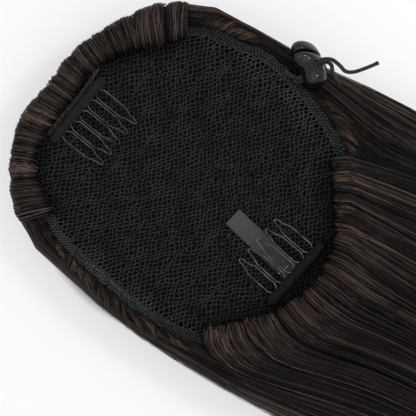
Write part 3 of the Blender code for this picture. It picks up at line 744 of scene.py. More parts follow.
def roll_guides():
    """Ways from the net's inner edge over the roll to its foot, one for each place round the rim."""
    guides = []
    for degrees in np.linspace(ROLL_START, ROLL_END, 61):
        inner, height = float(rim_radius(degrees)), float(rim_height(degrees))
        outer = float(np.interp(degrees, ROLL_ANGLES, ROLL_EDGE)) - STRAND_ALLOWANCE
        crest, width = height + ROLL_RISE, outer - inner
        profile = (
            # radius and height, from the seam on the net over the crest to the foot on the table
            (inner + 0.0015, height + 0.0020),
            (inner - 0.0010, height + 0.0021),
            (inner - 0.0015, height + 0.0034),
            (inner + 0.12 * width, crest - 0.0012),
            (inner + 0.45 * width, crest),
            (inner + 0.78 * width, crest - 0.0030),
            (outer - 0.0012, 0.70 * height),
            (outer, 0.44 * height),
            (outer - 0.0020, 0.18 * height),
            (outer - 0.0080, 0.0006),
        )
        guides.append([round_cap(degrees, radius, level) for radius, level in profile])
    return spread(np.array(guides), np.linspace(0, 1, 30), smoothing=12)


roll = roll_guides()
core = closed_core("front_roll_core", sunk(roll, 0.0012, -1.0))
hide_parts("front_hair_roll")
lay_strands(
    "front_roll_strands", roll, count=1980, steps=14, seed=3, locks=15, tufts=8, flip=-1.0,
    lift=(0.0001, 0.0014), begin=(0.0, 0.03), drift=0.55, wander=0.34, stray=0.0,
    narrow=0.03, root_painted_shade=(0.50, 0.16), shade=(0.45, 0.21),
)

# Side hair: long strands that start beside the roll, lie along the hem and run on as the tail's edges.
# They are sewn down beside the hem. The right one starts in a sharp bundle and the left one is frayed.
SIDE_SECTION = (
    # share of the way from the hem to the outer edge, share of the height
    (0.00, 0.96), (0.12, 0.95), (0.24, 0.90), (0.34, 0.83), (0.44, 0.89), (0.56, 0.90), (0.70, 0.83),
    (0.83, 0.72), (0.93, 0.56), (0.97, 0.42), (1.00, 0.28), (0.96, 0.10), (0.82, 0.00),
)
RIGHT_SIDE = (
    # angle round the cap, the outer edge's x and y from the cap's middle
    (129, -0.0562, 0.0708), (125, -0.0515, 0.0765), (118, -0.0420, 0.0799), (110, -0.0300, 0.0817),
    (100, -0.0150, 0.0830), (90, 0.0000, 0.0846), (80, 0.0130, 0.0862), (70, 0.0260, 0.0887),
    (60, 0.0400, 0.0920), (52, 0.0520, 0.0949), (45, 0.0630, 0.0969),
)
LEFT_SIDE = (
    (226, -0.0584, -0.0602), (230, -0.0532, -0.0660), (240, -0.0404, -0.0693), (250, -0.0250, -0.0699),
    (260, -0.0090, -0.0716), (270, 0.0050, -0.0728), (280, 0.0190, -0.0732), (290, 0.0330, -0.0726),
    (300, 0.0470, -0.0718), (308, 0.0590, -0.0708), (315, 0.0700, -0.0696),
)
SIDE_OFFSET, SIDE_RISE = 0.0060, 0.0012
EDGE_START = 0.006
FAN = (
    # share of the way from the rim to where the tail runs straight, height
    (0.00, 0.0540), (0.06, 0.0561), (0.12, 0.0575), (0.19, 0.0581), (0.26, 0.0580),
    (0.34, 0.0567), (0.42, 0.0550), (0.51, 0.0528), (0.60, 0.0505),
    (0.70, 0.0480), (0.80, 0.0455), (0.90, 0.0432), (1.00, 0.0410),
)
TAIL = (
    # x, left edge, left lane, right lane, right edge, height
    (0.150, -0.060, -0.036, 0.080, 0.1065, 0.0410),
    (0.200, -0.052, -0.028, 0.080, 0.104, 0.0350),
    (0.260, -0.035, -0.016, 0.078, 0.098, 0.0290),
    (0.320, -0.017, -0.002, 0.075, 0.091, 0.0230),
    (0.370, -0.001, 0.011, 0.071, 0.084, 0.0170),
    (0.410, 0.013, 0.022, 0.067, 0.077, 0.0110),
)
FAN_OFFSET, FAN_LEAVE, FAN_ARRIVE, FAN_X = 0.005, 0.013, 0.042, 0.150
LANE_LEAN = 0.26
LANE_TURN = 34.0
TAIL_DRIFT = 0.12
EDGE_DROP = 0.2
TIP_X, TIP_HEIGHT = 0.436, 0.002
SIDE_TIP_X, SIDE_TIP_WIDTH, SIDE_TIP_LOWEST = 0.424, 0.006, 0.0006


def leaned(across):
    """Lanes lie closer together on the right of the tail than on its left."""
    return across - LANE_LEAN * (1 - across**2)


def fan_lane(degrees, across):
    """A strand's way in plan from the rim to where the tail runs straight."""
    turn = math.radians(degrees)
    start = np.array((math.cos(turn), math.sin(turn))) * (float(rim_radius(degrees)) + FAN_OFFSET)
    middle, reach = (TAIL[0][2] + TAIL[0][3]) / 2, (TAIL[0][3] - TAIL[0][2]) / 2
    end = np.array((FAN_X, middle + reach * leaned(across)))
    ahead = np.array((1.0, TAIL_DRIFT - 0.1 * across))
    lean = turn - math.radians(LANE_TURN) * min(max((degrees + 12) / 40, 0.0), 1.0)
    leave = np.array((math.cos(lean), math.sin(lean)))
    points = (start, start + leave * FAN_LEAVE, end - ahead * FAN_ARRIVE, end)
    lane = []
    for t, _ in FAN:
        shares = ((1 - t) ** 3, 3 * t * (1 - t) ** 2, 3 * t * t * (1 - t), t**3)
        lane.append(sum(share * point for share, point in zip(shares, points)))
    return lane


def tail_lane(across):
    share = leaned(across)
    return [np.array((row[0], (row[2] + row[3]) / 2 + (row[3] - row[2]) / 2 * share)) for row in TAIL[1:]]


def lane_heights(across):
    share = 1 - EDGE_DROP * abs(across) ** 1.5
    return [height * share for _, height in FAN] + [row[5] * share for row in TAIL[1:]]


def side_section(inner, outer, height, lowest=0.0):
    return [(*(inner + (outer - inner) * part), height * high + lowest) for part, high in SIDE_SECTION]


def side_guides(table, lane_degrees, across, side):
    """Rows across the section, each a strand's way from beside the roll to the tips."""
    rings = []
    angles, *edges = zip(*sorted(table))
    for degrees in np.linspace(table[0][0], table[-1][0], 23):
        radius, turn = float(rim_radius(degrees)) + SIDE_OFFSET, math.radians(degrees)
        inner = np.array((radius * math.cos(turn), radius * math.sin(turn)))
        outer = np.array([np.interp(degrees, angles, edge) for edge in edges])
        rings.append(side_section(inner, outer, float(rim_height(degrees)) + SIDE_RISE))
    lane = fan_lane(lane_degrees, across) + tail_lane(across)
    heights = lane_heights(across)
    last = np.array(table[-1][1:])
    first_edge = TAIL[0][4] if side > 0 else TAIL[0][1]
    for index, place in enumerate(lane):
        if index < len(FAN):
            x = place[0] + (last[0] + EDGE_START - lane[0][0]) * (1 - FAN[index][0])
            outer = np.array((x, last[1] + (first_edge - last[1]) * (x - last[0]) / (FAN_X - last[0])))
        else:
            row = TAIL[index - len(FAN) + 1]
            outer = np.array((row[0], row[4] if side > 0 else row[1]))
        rings.append(side_section(place, outer, heights[index]))
    step = lane[-1] - lane[-2]
    tip = lane[-1] + step * ((SIDE_TIP_X - lane[-1][0]) / step[0])
    rings.append(side_section(tip, tip + np.array((0.0, side * SIDE_TIP_WIDTH)), TIP_HEIGHT, SIDE_TIP_LOWEST))
    guides = np.array(rings).transpose(1, 0, 2) + CAP
    return spread(guides, np.linspace(0, 1, 60) ** 1.1, smoothing=6)


def right_tone(across, along):
    """The outermost bundle is lighter beside the parting, and there is painted shade beside the hem."""
    bundle = 0.44 * rising(across, 0.40, 0.08) * np.clip(1.25 - along / 0.26, 0, 1)
    painted_shade_beside_hem = -0.42 * rising(0.36 - across, 0, 0.08) * np.clip(1.6 - along / 0.3, 0, 1)
    return bundle + painted_shade_beside_hem - 0.03


def left_tone(across, along):
    """There is painted shade beside the hem, and the outer edge is frayed and lighter."""
    painted_shade_beside_hem = -0.38 * rising(0.34 - across, 0, 0.10) * np.clip(1.5 - along / 0.35, 0, 1)
    return painted_shade_beside_hem + 0.16 * hump(across, 0.72, 0.08) - 0.01


for label, table_rows, lane_turn, across, side, seed, tone in (
    ("right", RIGHT_SIDE, 45, 1.0, 1, 11, right_tone),
    ("left", LEFT_SIDE, -45, -1.0, -1, 12, left_tone),
):
    guides = side_guides(table_rows, lane_turn, across, side)
    core = closed_core(f"side_{label}_core", sunk(guides, 0.0013, -side).transpose(1, 0, 2), seat=0.0050)
    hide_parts("side_hair_" + label)
    lay_strands(
        f"side_{label}_strands", guides, count=1290, steps=19, seed=seed, locks=7, tufts=6, flip=-side,
        lift=(0.0001, 0.0020), begin=(0.0, 0.01), drift=0.30, wander=0.14, stray=0.04, narrow=0.10,
        tuft_contrast=0.8, tone=tone, shade=(0.43, 0.21),
    )

# Tail: the long hair behind the cap.
# It wells up over the rim, leans in over the net and sweeps away in broad locks to loose tips.


def tail_guides():
    """Ways from the net over the rim and down the tail to its tips, one for each place round the back."""
    guides = []
    for degrees in np.linspace(-45.2, 45.2, 31):
        across = degrees / 45.0
        inner, height = float(rim_radius(degrees)), float(rim_height(degrees))
        turn = math.radians(degrees)
        out = np.array((math.cos(turn), math.sin(turn)))
        rows = [
            # from the seam on the net, in a little and then up over the rim
            (*(out * (inner + 0.0020)), height + 0.0021),
            (*(out * (inner - 0.0036)), height + 0.0021),
            (*(out * (inner - 0.0044)), height + 0.0034),
            (*(out * (inner - 0.0010)), height + 0.0085),
        ]
        lane = fan_lane(degrees, across) + tail_lane(across)
        rows += [(*place, high) for place, high in zip(lane, lane_heights(across))]
        step = lane[-1] - lane[-2]
        tip = lane[-1] + step * ((TIP_X - lane[-1][0]) / step[0])
        rows.append((*tip, TIP_HEIGHT))
        guides.append(rows)
    return spread(np.array(guides) + CAP, np.linspace(0, 1, 70) ** 1.7, smoothing=3)


def tail_tone(across, along):
    """Painted sheen over the crest, painted shade in the valley between the two big locks, and a redder, darker
    lower side.
    """
    # Painted sheen on the crest and painted shade in the valley.
    crest = 0.20 * hump(along, 0.15, 0.07)
    painted_valley_shade = -0.16 * hump(across, 0.42, 0.12) * hump(along, 0.30, 0.14)
    low = -0.22 * np.clip(1 - across / 0.34, 0, 1) * rising(along, 0.18, 0.1)
    return crest + painted_valley_shade + low - 0.03


tail = tail_guides()
core = closed_core("tail_core", sunk(tail, 0.0014, -1.0))
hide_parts("tail_hair")
lay_strands(
    "tail_strands", tail, count=1340, steps=25, seed=21, locks=17, tufts=9, flip=-1.0,
    lift=(0.0001, 0.0024), begin=(0.0, 0.012), drift=0.35, wander=0.24, stray=0.05,
    half_width=0.00022, narrow=0.20, root_painted_shade=(0.95, 0.13), tuft_pull=0.40, tuft_contrast=0.50,
    tone=tail_tone, shade=(0.43, 0.23),
)

# Weft curls: the short ends of the sewn wefts stand out between the hem and the long hair, wavy and redder.
# Under the cord lock they are pressed down.
CURLS = (
    # name, seed, first and last angle, count of tufts, way round, length, lean, mean shade
    ("right_weft_curls", 41, 122.0, 42.0, 30, -1.0, 0.0190, 1.22, 0.50),
    ("left_weft_curls", 42, 232.0, 304.0, 24, 1.0, 0.0150, 1.12, 0.43),
)
CURL_BROWNS = (
    (0.00, 0.0014, 0.0010, 0.0008),
    (0.30, 0.0080, 0.0054, 0.0040),
    (0.55, 0.0290, 0.0182, 0.0134),
    (0.78, 0.0800, 0.0490, 0.0355),
    (1.00, 0.1750, 0.1120, 0.0830),
)
CURL_HAIRS, CURL_POINTS = 24, 10
CURL_HALF = 0.00015
CURL_OFFSET, CURL_LIFT, CURL_RISE, CURL_FALL = 0.0042, 0.0010, 0.0030, 0.0030
TUFT_SPREAD = 1.7
LOCK_DEGREES, LOCK_REACH = 84.0, 17.0
LOCK_PRESS = 0.0065
curl_fibre = fibre_material("weft curls", CURL_BROWNS)


def make_curls(name, seed, start, stop, tuft_count, way, length, lean, mean_shade):
    """Tufts of wavy hairs that leave the hem's outer edge and lean round it towards the tail."""
    rng = np.random.default_rng(seed)
    t = np.linspace(0, 1, CURL_POINTS)
    taper = np.clip((1 - t) / 0.3, 0.35, 1.0)
    lines, widths, shades = [], [], []
    for tuft in range(tuft_count):
        degrees = start + (stop - start) * (tuft + rng.uniform(0.2, 0.8)) / tuft_count
        # Tufts are longer where the long hair leaves the hem, and the right ones are pressed by the lock.
        if way < 0:
            open_share = rising(95 - degrees, 0, 30)
            pressed = LOCK_PRESS * np.clip(1 - abs(degrees - LOCK_DEGREES) / LOCK_REACH, 0, 1) ** 0.5
        else:
            open_share = rising(degrees, 246, 26) * 1.2 - 0.4
            pressed = 0.0
        tuft_length = length * rng.uniform(0.8, 1.15) * (0.62 + 0.38 * open_share)
        tuft_lean = lean * rng.uniform(0.90, 1.08) - 0.16 * open_share
        wave, phase = rng.uniform(0.0004, 0.0011), rng.uniform(0, math.tau)
        waves = rng.uniform(0.9, 1.5)
        tuft_shade = rng.normal(mean_shade, 0.11)
        tuft_rise = rng.uniform(0.6, 1.1)
        for _ in range(CURL_HAIRS):
            aside = rng.uniform(-1, 1)
            root = degrees + TUFT_SPREAD * aside
            turn = math.radians(root)
            out = np.array((math.cos(turn), math.sin(turn), 0.0))
            round_way = np.array((-math.sin(turn), math.cos(turn), 0.0)) * way
            radius = float(rim_radius(root)) + CURL_OFFSET + rng.uniform(0, 0.0010)
            own_length = tuft_length * rng.uniform(0.75, 1.1)
            heading = tuft_lean * (0.62 + 0.58 * t) + aside * way * 0.10 * t + rng.normal(0, 0.04)
            steps = np.stack((np.cos(heading), np.sin(heading)), axis=1) * own_length / (CURL_POINTS - 1)
            plan = np.concatenate(([[0.0, 0.0]], np.cumsum(steps[:-1], axis=0)))
            swing = wave * np.sin(phase + math.tau * waves * t + rng.normal(0, 0.12)) * np.minimum(t * 3, 1)
            away = plan[:, 0] - np.sin(heading) * swing
            ahead = plan[:, 1] + np.cos(heading) * swing
            place = out * away[:, None] + round_way * ahead[:, None] + out * radius + CAP
            rise = CURL_RISE * np.sin(math.pi * np.minimum(t * 1.1, 1.0)) * tuft_rise * (1 - 0.6 * aside**2)
            level = float(rim_height(root)) + CURL_LIFT
            place[:, 2] = level + rise - CURL_FALL * t**2 - pressed * np.minimum(2.5 * t, 1)
            lines.append(place)
            widths.append(CURL_HALF * taper)
            # Painted shade darkens each hair at its tuft's edges and at its root; it is also lighter along its
            # middle.
            own_shade = tuft_shade + rng.normal(0, 0.17) - 0.40 * aside**2 - 0.35 * (1 - t) ** 4
            shades.append(np.clip(own_shade + 0.10 * np.sin(math.pi * t), 0.02, 1.0))
    curls = make_tubes(name, lines, widths, curl_fibre, shades=shades)
    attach(curls, "hairpiece")


for curl_row in CURLS:
    make_curls(*curl_row)

# Combs: one spring wire bent into five hairpin teeth, its links held in a folded strip of charcoal tape.
# Tacks of black thread hold each strip down on the net.
TOOTH_COUNT = 5
TOOTH_PITCH = 0.0066
WIRE_HALF = 0.00033
TOOTH_LENGTH = 0.0252
TOOTH_SAG = 0.0015
TOOTH = (
    # way along the tooth, half its width
    (-0.0024, 0.0012), (-0.0006, 0.0012), (0.0024, 0.00265), (0.0160, 0.00265), (0.0196, 0.00145),
    (0.0240, 0.0009), (0.0250, 0.00055),
)
COMBS = (
    # name, middle of the strip's front face, heading, dip, the wire's dull and bright tone (one steel, whose
    # tones differ as painted shade)
    ("front_comb", -0.0607, -0.0020, 0.0334, -2.5, 19.0, (0.022, 0.023, 0.025), (0.110, 0.112, 0.120)),
    ("back_comb", 0.0693, -0.0026, 0.0387, 175.0, 24.0, (0.050, 0.050, 0.053), (0.210, 0.210, 0.217)),
)
BAR_LENGTH, BAR_DEPTH, BAR_HEIGHT = 0.040, 0.0046, 0.0034
BAR_SIDES = 18
BAR_STATIONS = 121
BAR_WAVE, BAR_UNEVEN = 0.00022, 0.00004
TAPE_RIB, TAPE_RIB_PITCH = 0.00007, 0.0011
TACK_COUNT, TACK_POINTS = 10, 12
TACK_HALF = 0.00016
TACK_MARGIN = 0.0022
TACK_TURNS = np.radians(np.linspace(-25, 205, TACK_POINTS))


def steel_material(name, dull, bright):
    """Drawn spring wire: grey, dull in places, with a fine unevenness in its gloss."""
    material = plain_material(name, bright, 0.34)
    tree = material.node_tree
    shader = tree.nodes["Principled BSDF"]
    shader.inputs["Metallic"].default_value = 0.8
    noise = object_noise(tree, 260.0, 4.0)
    ramp = add_ramp(tree, (0.30, dull), (0.66, bright))
    gloss = add_node(tree, "ShaderNodeMapRange", {"To Min": 0.24, "To Max": 0.50})
    wire(
        tree,
        (noise, "Fac", ramp, "Fac"),
        (ramp, "Color", shader, "Base Color"),
        (noise, "Fac", gloss, "Value"),
        (gloss, "Result", shader, "Roughness"),
    )
    add_bump(tree, noise, "Fac", 0.2, 0.00005)
    return material


# The back comb's strip is the same charcoal tape, coloured darker as painted shade under the tail's crest.
TAPE_IN_PAINTED_SHADE = (0.0012, 0.0012, 0.0013), (0.0060, 0.0060, 0.0064)
CHARCOAL_TAPE = (0.0030, 0.0030, 0.0034), (0.0150, 0.0153, 0.0172)
tape_in_painted_shade = yarn_material("comb tape in painted shade", *TAPE_IN_PAINTED_SHADE, 0.9, scale=1500.0)
tape = yarn_material("charcoal comb tape", *CHARCOAL_TAPE, 0.9, sheen=0.05, scale=1500.0)
tack_thread = yarn_material("black tack thread", (0.003, 0.003, 0.003), (0.022, 0.022, 0.024), 0.7)


def bar_point(along, turn, swell):
    """A point on the tape's folded section, in the comb's own axes."""
    end = min(1.0, math.sqrt(max(0.0, 1 - (abs(along) / (BAR_LENGTH / 2)) ** 14)) + 0.25)
    c, n = math.cos(turn), math.sin(turn)
    deep = (BAR_DEPTH / 2 + swell) * math.copysign(abs(c) ** 0.5, c) * end
    high = (BAR_HEIGHT / 2 + swell) * math.copysign(abs(n) ** 0.6, n) * end
    return Vector((along, -BAR_DEPTH / 2 + deep, high))


def make_comb(label, at, dull, bright, seed):
    points = []
    for tooth in range(TOOTH_COUNT):
        middle = (tooth - (TOOTH_COUNT - 1) / 2) * TOOTH_PITCH
        points += [(middle - wide, y) for y, wide in TOOTH] + [(middle, TOOTH_LENGTH)]
        points += [(middle + wide, y) for y, wide in TOOTH[::-1]]
    teeth = np.array([at @ Vector((x, y, -TOOTH_SAG * (max(y, 0) / TOOTH_LENGTH) ** 2)) for x, y in points])
    steel = steel_material(label + " wire", dull, bright)
    piece = make_tubes(label + "_wire_teeth", [teeth], [np.full(len(teeth), WIRE_HALF)], steel, sides=8)
    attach(piece, "hairpiece")
    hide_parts(label + "_wire")

    rng = np.random.default_rng(seed)
    skin = []
    for along in np.linspace(-BAR_LENGTH / 2, BAR_LENGTH / 2, BAR_STATIONS):
        rib = TAPE_RIB * math.sin(along * math.tau / TAPE_RIB_PITCH)
        swell = BAR_WAVE * math.sin(along * 700 + seed) + rng.normal(0, BAR_UNEVEN) + rib
        skin += [at @ bar_point(along, math.tau * side / BAR_SIDES, swell) for side in range(BAR_SIDES)]
    # The back strip takes the darker tape, which is painted shade.
    finish = tape if label == "front_comb" else tape_in_painted_shade
    bar = mesh_object(label + "_tape", skin, ring_faces(BAR_STATIONS, BAR_SIDES), finish)
    bar.data.shade_smooth()
    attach(bar, "hairpiece")
    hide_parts(label + "_bar")

    tacks = []
    for middle in np.linspace(TACK_MARGIN - BAR_LENGTH / 2, BAR_LENGTH / 2 - TACK_MARGIN, TACK_COUNT):
        places = middle + rng.uniform(0.0004, 0.0016) * np.linspace(-0.5, 0.5, TACK_POINTS)
        tacks.append(np.array([at @ bar_point(*place, BAR_WAVE) for place in zip(places, TACK_TURNS)]))
    widths = [np.full(TACK_POINTS, TACK_HALF)] * TACK_COUNT
    threads = make_tubes(label + "_tacks", tacks, widths, tack_thread, sides=4)
    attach(threads, "hairpiece")


for seed, (label, x, y, z, heading, dip, dull, bright) in enumerate(COMBS):
    turned = Matrix.Rotation(math.radians(heading - 90), 4, "Z") @ Matrix.Rotation(math.radians(-dip), 4, "X")
    make_comb(label, Matrix.Translation(Vector((x, y, z)) + Vector(CAP)) @ turned, dull, bright, 5 + seed)

# Front weft: a machine-sewn seam whose zigzag shows on the net between the front comb's strip and the roll.
# Two straight threads lie beside the zigzag.
WEFT_X, WEFT_FROM, WEFT_TO = -0.0665, -0.0205, 0.0215
WEFT_STITCH, WEFT_SWING = 0.00085, 0.00065
WEFT_BEND = 1.6
THREAD_HALF, THREAD_LIFT = 0.00020, 0.0010
seam_lines = []
seam_y = np.arange(WEFT_FROM, WEFT_TO, WEFT_STITCH / 4)
seam_x = WEFT_X + 0.0004 * np.sin(seam_y * 160) - WEFT_BEND * seam_y**2
for side, swing in ((-1, 0.0), (1, 0.0), (0, WEFT_SWING)):
    zigzag = swing * (np.abs(seam_y / WEFT_STITCH % 2 - 1) * 2 - 1)
    place = net_place(seam_x + side * WEFT_SWING + zigzag, seam_y)[0]
    seam_lines.append(place + np.array((0, 0, THREAD_LIFT)))
seam_thread = yarn_material("weft seam thread", (0.020, 0.020, 0.022), (0.120, 0.120, 0.124), 0.7)
seam_widths = [np.full(len(seam_y), THREAD_HALF)] * 3
seam = make_tubes("front_weft_seam", seam_lines, seam_widths, seam_thread, sides=4)
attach(seam, "hairpiece")

# Label: a bare loop of charcoal satin ribbon, flat on the net under the back comb's teeth.
# Its fold points to the cap's middle, and its ends are sewn in under the comb's strip.
LABEL_HALF = 0.00525
LABEL_NEAR, LABEL_FAR = np.array((0.0712, -0.0038)), np.array((0.0303, 0.0014))
LABEL_CLEARANCE = 0.0007
LABEL_PLIES = (0.0, 0.00042)
LABEL_STATIONS, LABEL_COLUMNS = 150, 13
FOLD_CURL = 0.0007
PLY = 0.00032
SATIN_DARK, SATIN_LIGHT = (0.0065, 0.0065, 0.0075), (0.037, 0.037, 0.041)


def satin_material():
    """Ribbon satin: fine cross ribs, a soft sheen along the floats, a slightly uneven dye, and painted shade
    from the rib attribute.
    """
    material = plain_material("charcoal satin ribbon", (0.030, 0.030, 0.033), 0.46)
    tree = material.node_tree
    shader = tree.nodes["Principled BSDF"]
    shader.inputs["Sheen Weight"].default_value = 0.12
    shader.inputs["Specular IOR Level"].default_value = 0.35
    ribs_and_painted_shade = add_node(tree, "ShaderNodeAttribute", attribute_name="rib")
    noise = object_noise(tree, 420.0, 3.0)
    total = add_node(tree, "ShaderNodeMath", {1: 0.35}, operation="MULTIPLY_ADD")
    ramp = add_ramp(tree, (0.10, SATIN_DARK), (0.60, SATIN_LIGHT))
    wire(
        tree,
        (noise, "Fac", total, 0),
        (ribs_and_painted_shade, "Fac", total, 2),
        (total, "Value", ramp, "Fac"),
        (ramp, "Color", shader, "Base Color"),
    )
    add_bump(tree, total, "Value", 0.4, 0.00008)
    return material


def label_height(plan, across):
    """The ribbon's underside: it bridges the net's highest point under its width."""
    highest = 0.0
    for side in (-1, 0, 1):
        x, y = plan + across * side
        reach = math.hypot(x, y)
        turn = math.degrees(math.atan2(y, x))
        highest = max(highest, float(net_height(turn, reach / rim_radius(turn))))
    return highest + LABEL_CLEARANCE


def ply_faces(first):
    """Faces of one ply, whose points go across each station in pairs, one above the other."""
    row = LABEL_COLUMNS * 2
    faces = []
    for a in range(first, first + (LABEL_STATIONS - 1) * row, row):
        for i in range(a, a + row - 2, 2):
            faces += [(i, i + row, i + row + 2, i + 2), (i + 1, i + 3, i + row + 3, i + row + 1)]
        j = a + row - 2
        faces += [(a, a + 1, a + row + 1, a + row), (j, j + row, j + row + 1, j + 1)]
    last = first + (LABEL_STATIONS - 1) * row
    faces += [(i, i + 2, i + 3, i + 1) for i in range(first, first + row - 2, 2)]
    faces += [(i + 1, i + 3, i + 2, i) for i in range(last, last + row - 2, 2)]
    return faces


def make_label():
    ahead = (LABEL_FAR - LABEL_NEAR) / np.linalg.norm(LABEL_FAR - LABEL_NEAR)
    across = np.array((-ahead[1], ahead[0])) * LABEL_HALF
    points, ribs_and_painted_shade, faces = [], [], []
    for lift in LABEL_PLIES:
        faces += ply_faces(len(points))
        for station, t in enumerate(np.linspace(0, 1, LABEL_STATIONS)):
            plan = LABEL_NEAR + (LABEL_FAR - LABEL_NEAR) * t
            low = label_height(plan, across) + lift
            curl = FOLD_CURL * t**6
            rib = 0.5 + 0.5 * math.sin(station * math.tau / 3.0)
            for share in np.linspace(-1, 1, LABEL_COLUMNS):
                wave = 0.00010 * math.sin(9 * t + 2 * share) + 0.00025 * share**4 + curl * (1 - share**2)
                for height in (0.0, PLY):
                    points.append((*(plan + across * share + CAP[:2]), low + wave + height))
                    # Each point's tone: the rib, lighter along the middle, and painted shade towards the end
                    # under the comb.
                    ribs_and_painted_shade.append(0.16 * rib + 0.08 * (1 - abs(share)) + 0.46 * t - 0.19)
    ribbon = mesh_object("satin_label", points, faces, satin_material())
    shade = ribbon.data.attributes.new("rib", "FLOAT", "POINT")
    shade.data.foreach_set("value", np.array(ribs_and_painted_shade, np.float32))
    face_outward(ribbon)
    return ribbon


label = make_label()
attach(label, "hairpiece")
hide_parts("ribbon_label")

# White tacking stitches show beside the back comb's strip, where the label's end is sewn in.
# They are short lengths of thread that stand up a little from the ribbon.
STITCHES = (
    ((0.0662, -0.0050), (0.0666, -0.0014)),
    ((0.0650, -0.0081), (0.0655, -0.0072)),
    ((0.0652, 0.0013), (0.0656, 0.0022)),
)
STITCH_POINTS = 7
STITCH_HALF = 0.00015
STITCH_LIFT, STITCH_RISE = 0.0014, 0.0004
white_thread = yarn_material("white tacking thread", (0.20, 0.20, 0.20), (0.62, 0.62, 0.60), 0.7)
stitch_lines = []
for start, stop in np.array(STITCHES):
    line = []
    for t in np.linspace(0, 1, STITCH_POINTS):
        plan = start + (stop - start) * t
        ribbon = label_height(plan, np.array((0.0, 0.0012)))
        line.append(np.array((*plan, ribbon + STITCH_LIFT + STITCH_RISE * math.sin(math.pi * t))) + CAP)
    stitch_lines.append(np.array(line))
stitch_widths = [np.full(STITCH_POINTS, STITCH_HALF)] * len(stitch_lines)
tacking = make_tubes("label_tacking", stitch_lines, stitch_widths, white_thread, sides=4)
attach(tacking, "hairpiece")

# Cord lock: a spring toggle of glossy black plastic. Its barrel has a winged mouth, and the cords cross it.
# The button's stem slides in the mouth, and its head has wings of its own to be squeezed against the mouth's.
LOCK_MOUTH = (0.0149, 0.0834, 0.0446)
LOCK_WIDE = (0.722, 0.248, -0.646)
LOCK_AXIS = (-0.659, 0.530, -0.534)
LOCK_BODY = (
    # along the axis, half width, half thickness
    (-0.01502, 0.0006, 0.0005), (-0.0150, 0.0022, 0.0020), (-0.0143, 0.0042, 0.0038),
    (-0.0123, 0.0057, 0.0051), (-0.0090, 0.0062, 0.0057), (-0.0055, 0.0061, 0.0056),
    (-0.0036, 0.0068, 0.0055), (-0.0028, 0.0096, 0.0056), (-0.0020, 0.0105, 0.0057),
    (-0.0008, 0.0107, 0.0057), (-0.0002, 0.0105, 0.0055), (0.0000, 0.0101, 0.0052), (0.00002, 0.0060, 0.0040),
)
LOCK_STEM = (
    (-0.00342, 0.0008, 0.0006), (-0.0034, 0.0040, 0.0026), (0.0026, 0.0041, 0.0027), (0.0030, 0.0041, 0.0027),
    (0.0031, 0.0008, 0.0006),
)
LOCK_HEAD = (
    (0.00278, 0.0030, 0.0018), (0.0028, 0.0078, 0.0042), (0.0031, 0.0088, 0.0048), (0.0038, 0.0093, 0.0051),
    (0.0070, 0.0090, 0.0049), (0.0085, 0.0080, 0.0045), (0.0095, 0.0062, 0.0036), (0.0102, 0.0034, 0.0020),
    (0.0103, 0.0008, 0.0005),
)
# The hole's half width, half height and place along the axis, the bore's half width, half thickness and depth
CORD_HOLE = (0.0033, 0.0018, -0.0055)
BUTTON_BORE = (0.0046, 0.0032, 0.0105)
HOLE_REACH = 0.012
CUTTER_SIDES = 32
LOCK_SIDES = 56


def lock_axes():
    wide, axis = Vector(LOCK_WIDE).normalized(), Vector(LOCK_AXIS).normalized()
    thick = axis.cross(wide).normalized()
    wide = thick.cross(axis)
    turned = Matrix((wide, thick, axis)).transposed().to_4x4()
    return Matrix.Translation(Vector(LOCK_MOUTH) + Vector(CAP)) @ turned


LOCK_PLACE = lock_axes()


def gloss_plastic():
    """Injection-moulded black plastic: glossy, with a faint ripple and finger marks in its gloss."""
    material = plain_material("gloss black plastic", (0.0045, 0.0045, 0.0052), 0.2)
    tree = material.node_tree
    shader = tree.nodes["Principled BSDF"]
    shader.inputs["Specular IOR Level"].default_value = 0.36
    noise = object_noise(tree, 420.0, 3.0)
    marks = add_node(tree, "ShaderNodeMapRange", {"To Min": 0.08, "To Max": 0.17})
    wire(tree, (noise, "Fac", marks, "Value"), (marks, "Result", shader, "Roughness"))
    add_bump(tree, noise, "Fac", 0.04, 0.0002)
    return material


moulded = gloss_plastic()


def moulded_form(name, rows):
    """A closed form through oval sections, with the mould's parting line down both of its narrow sides."""
    points = []
    for along, wide, thick in rows:
        for side in range(LOCK_SIDES):
            turn = math.tau * side / LOCK_SIDES
            seam = 1.012 if side % (LOCK_SIDES // 2) == 0 else 1.0
            points.append(LOCK_PLACE @ Vector((wide * math.cos(turn) * seam, thick * math.sin(turn), along)))
    return mesh_object(name, points, ring_faces(len(rows), LOCK_SIDES), moulded)


def finished(piece):
    """Round the form with subdivision and leave a plain mesh."""
    rounding = piece.modifiers.new("rounding", "SUBSURF")
    rounding.levels = 1
    rounding.render_levels = 1
    make_plain(piece)
    piece.data.shade_smooth()
    return piece


def lock_cutters():
    """Oval plugs that leave the hole for the cords across the barrel and the bore for the button's stem."""
    half_wide, half_high, depth = CORD_HOLE
    bore_wide, bore_thick, bore_depth = BUTTON_BORE
    hole_rings, bore_rings = [], []
    for end in (-1, 1):
        for turn in np.arange(CUTTER_SIDES) * math.tau / CUTTER_SIDES:
            c, s = math.cos(turn), math.sin(turn)
            hole_rings.append(LOCK_PLACE @ Vector((half_wide * c, HOLE_REACH * end, depth + half_high * s)))
            bore_rings.append(LOCK_PLACE @ Vector((bore_wide * c, bore_thick * s, bore_depth * end)))
    faces = ring_faces(2, CUTTER_SIDES)
    bore = mesh_object("button_bore_cutter", bore_rings, faces, moulded)
    return bore, mesh_object("cord_hole_cutter", hole_rings, [face[::-1] for face in faces], moulded)


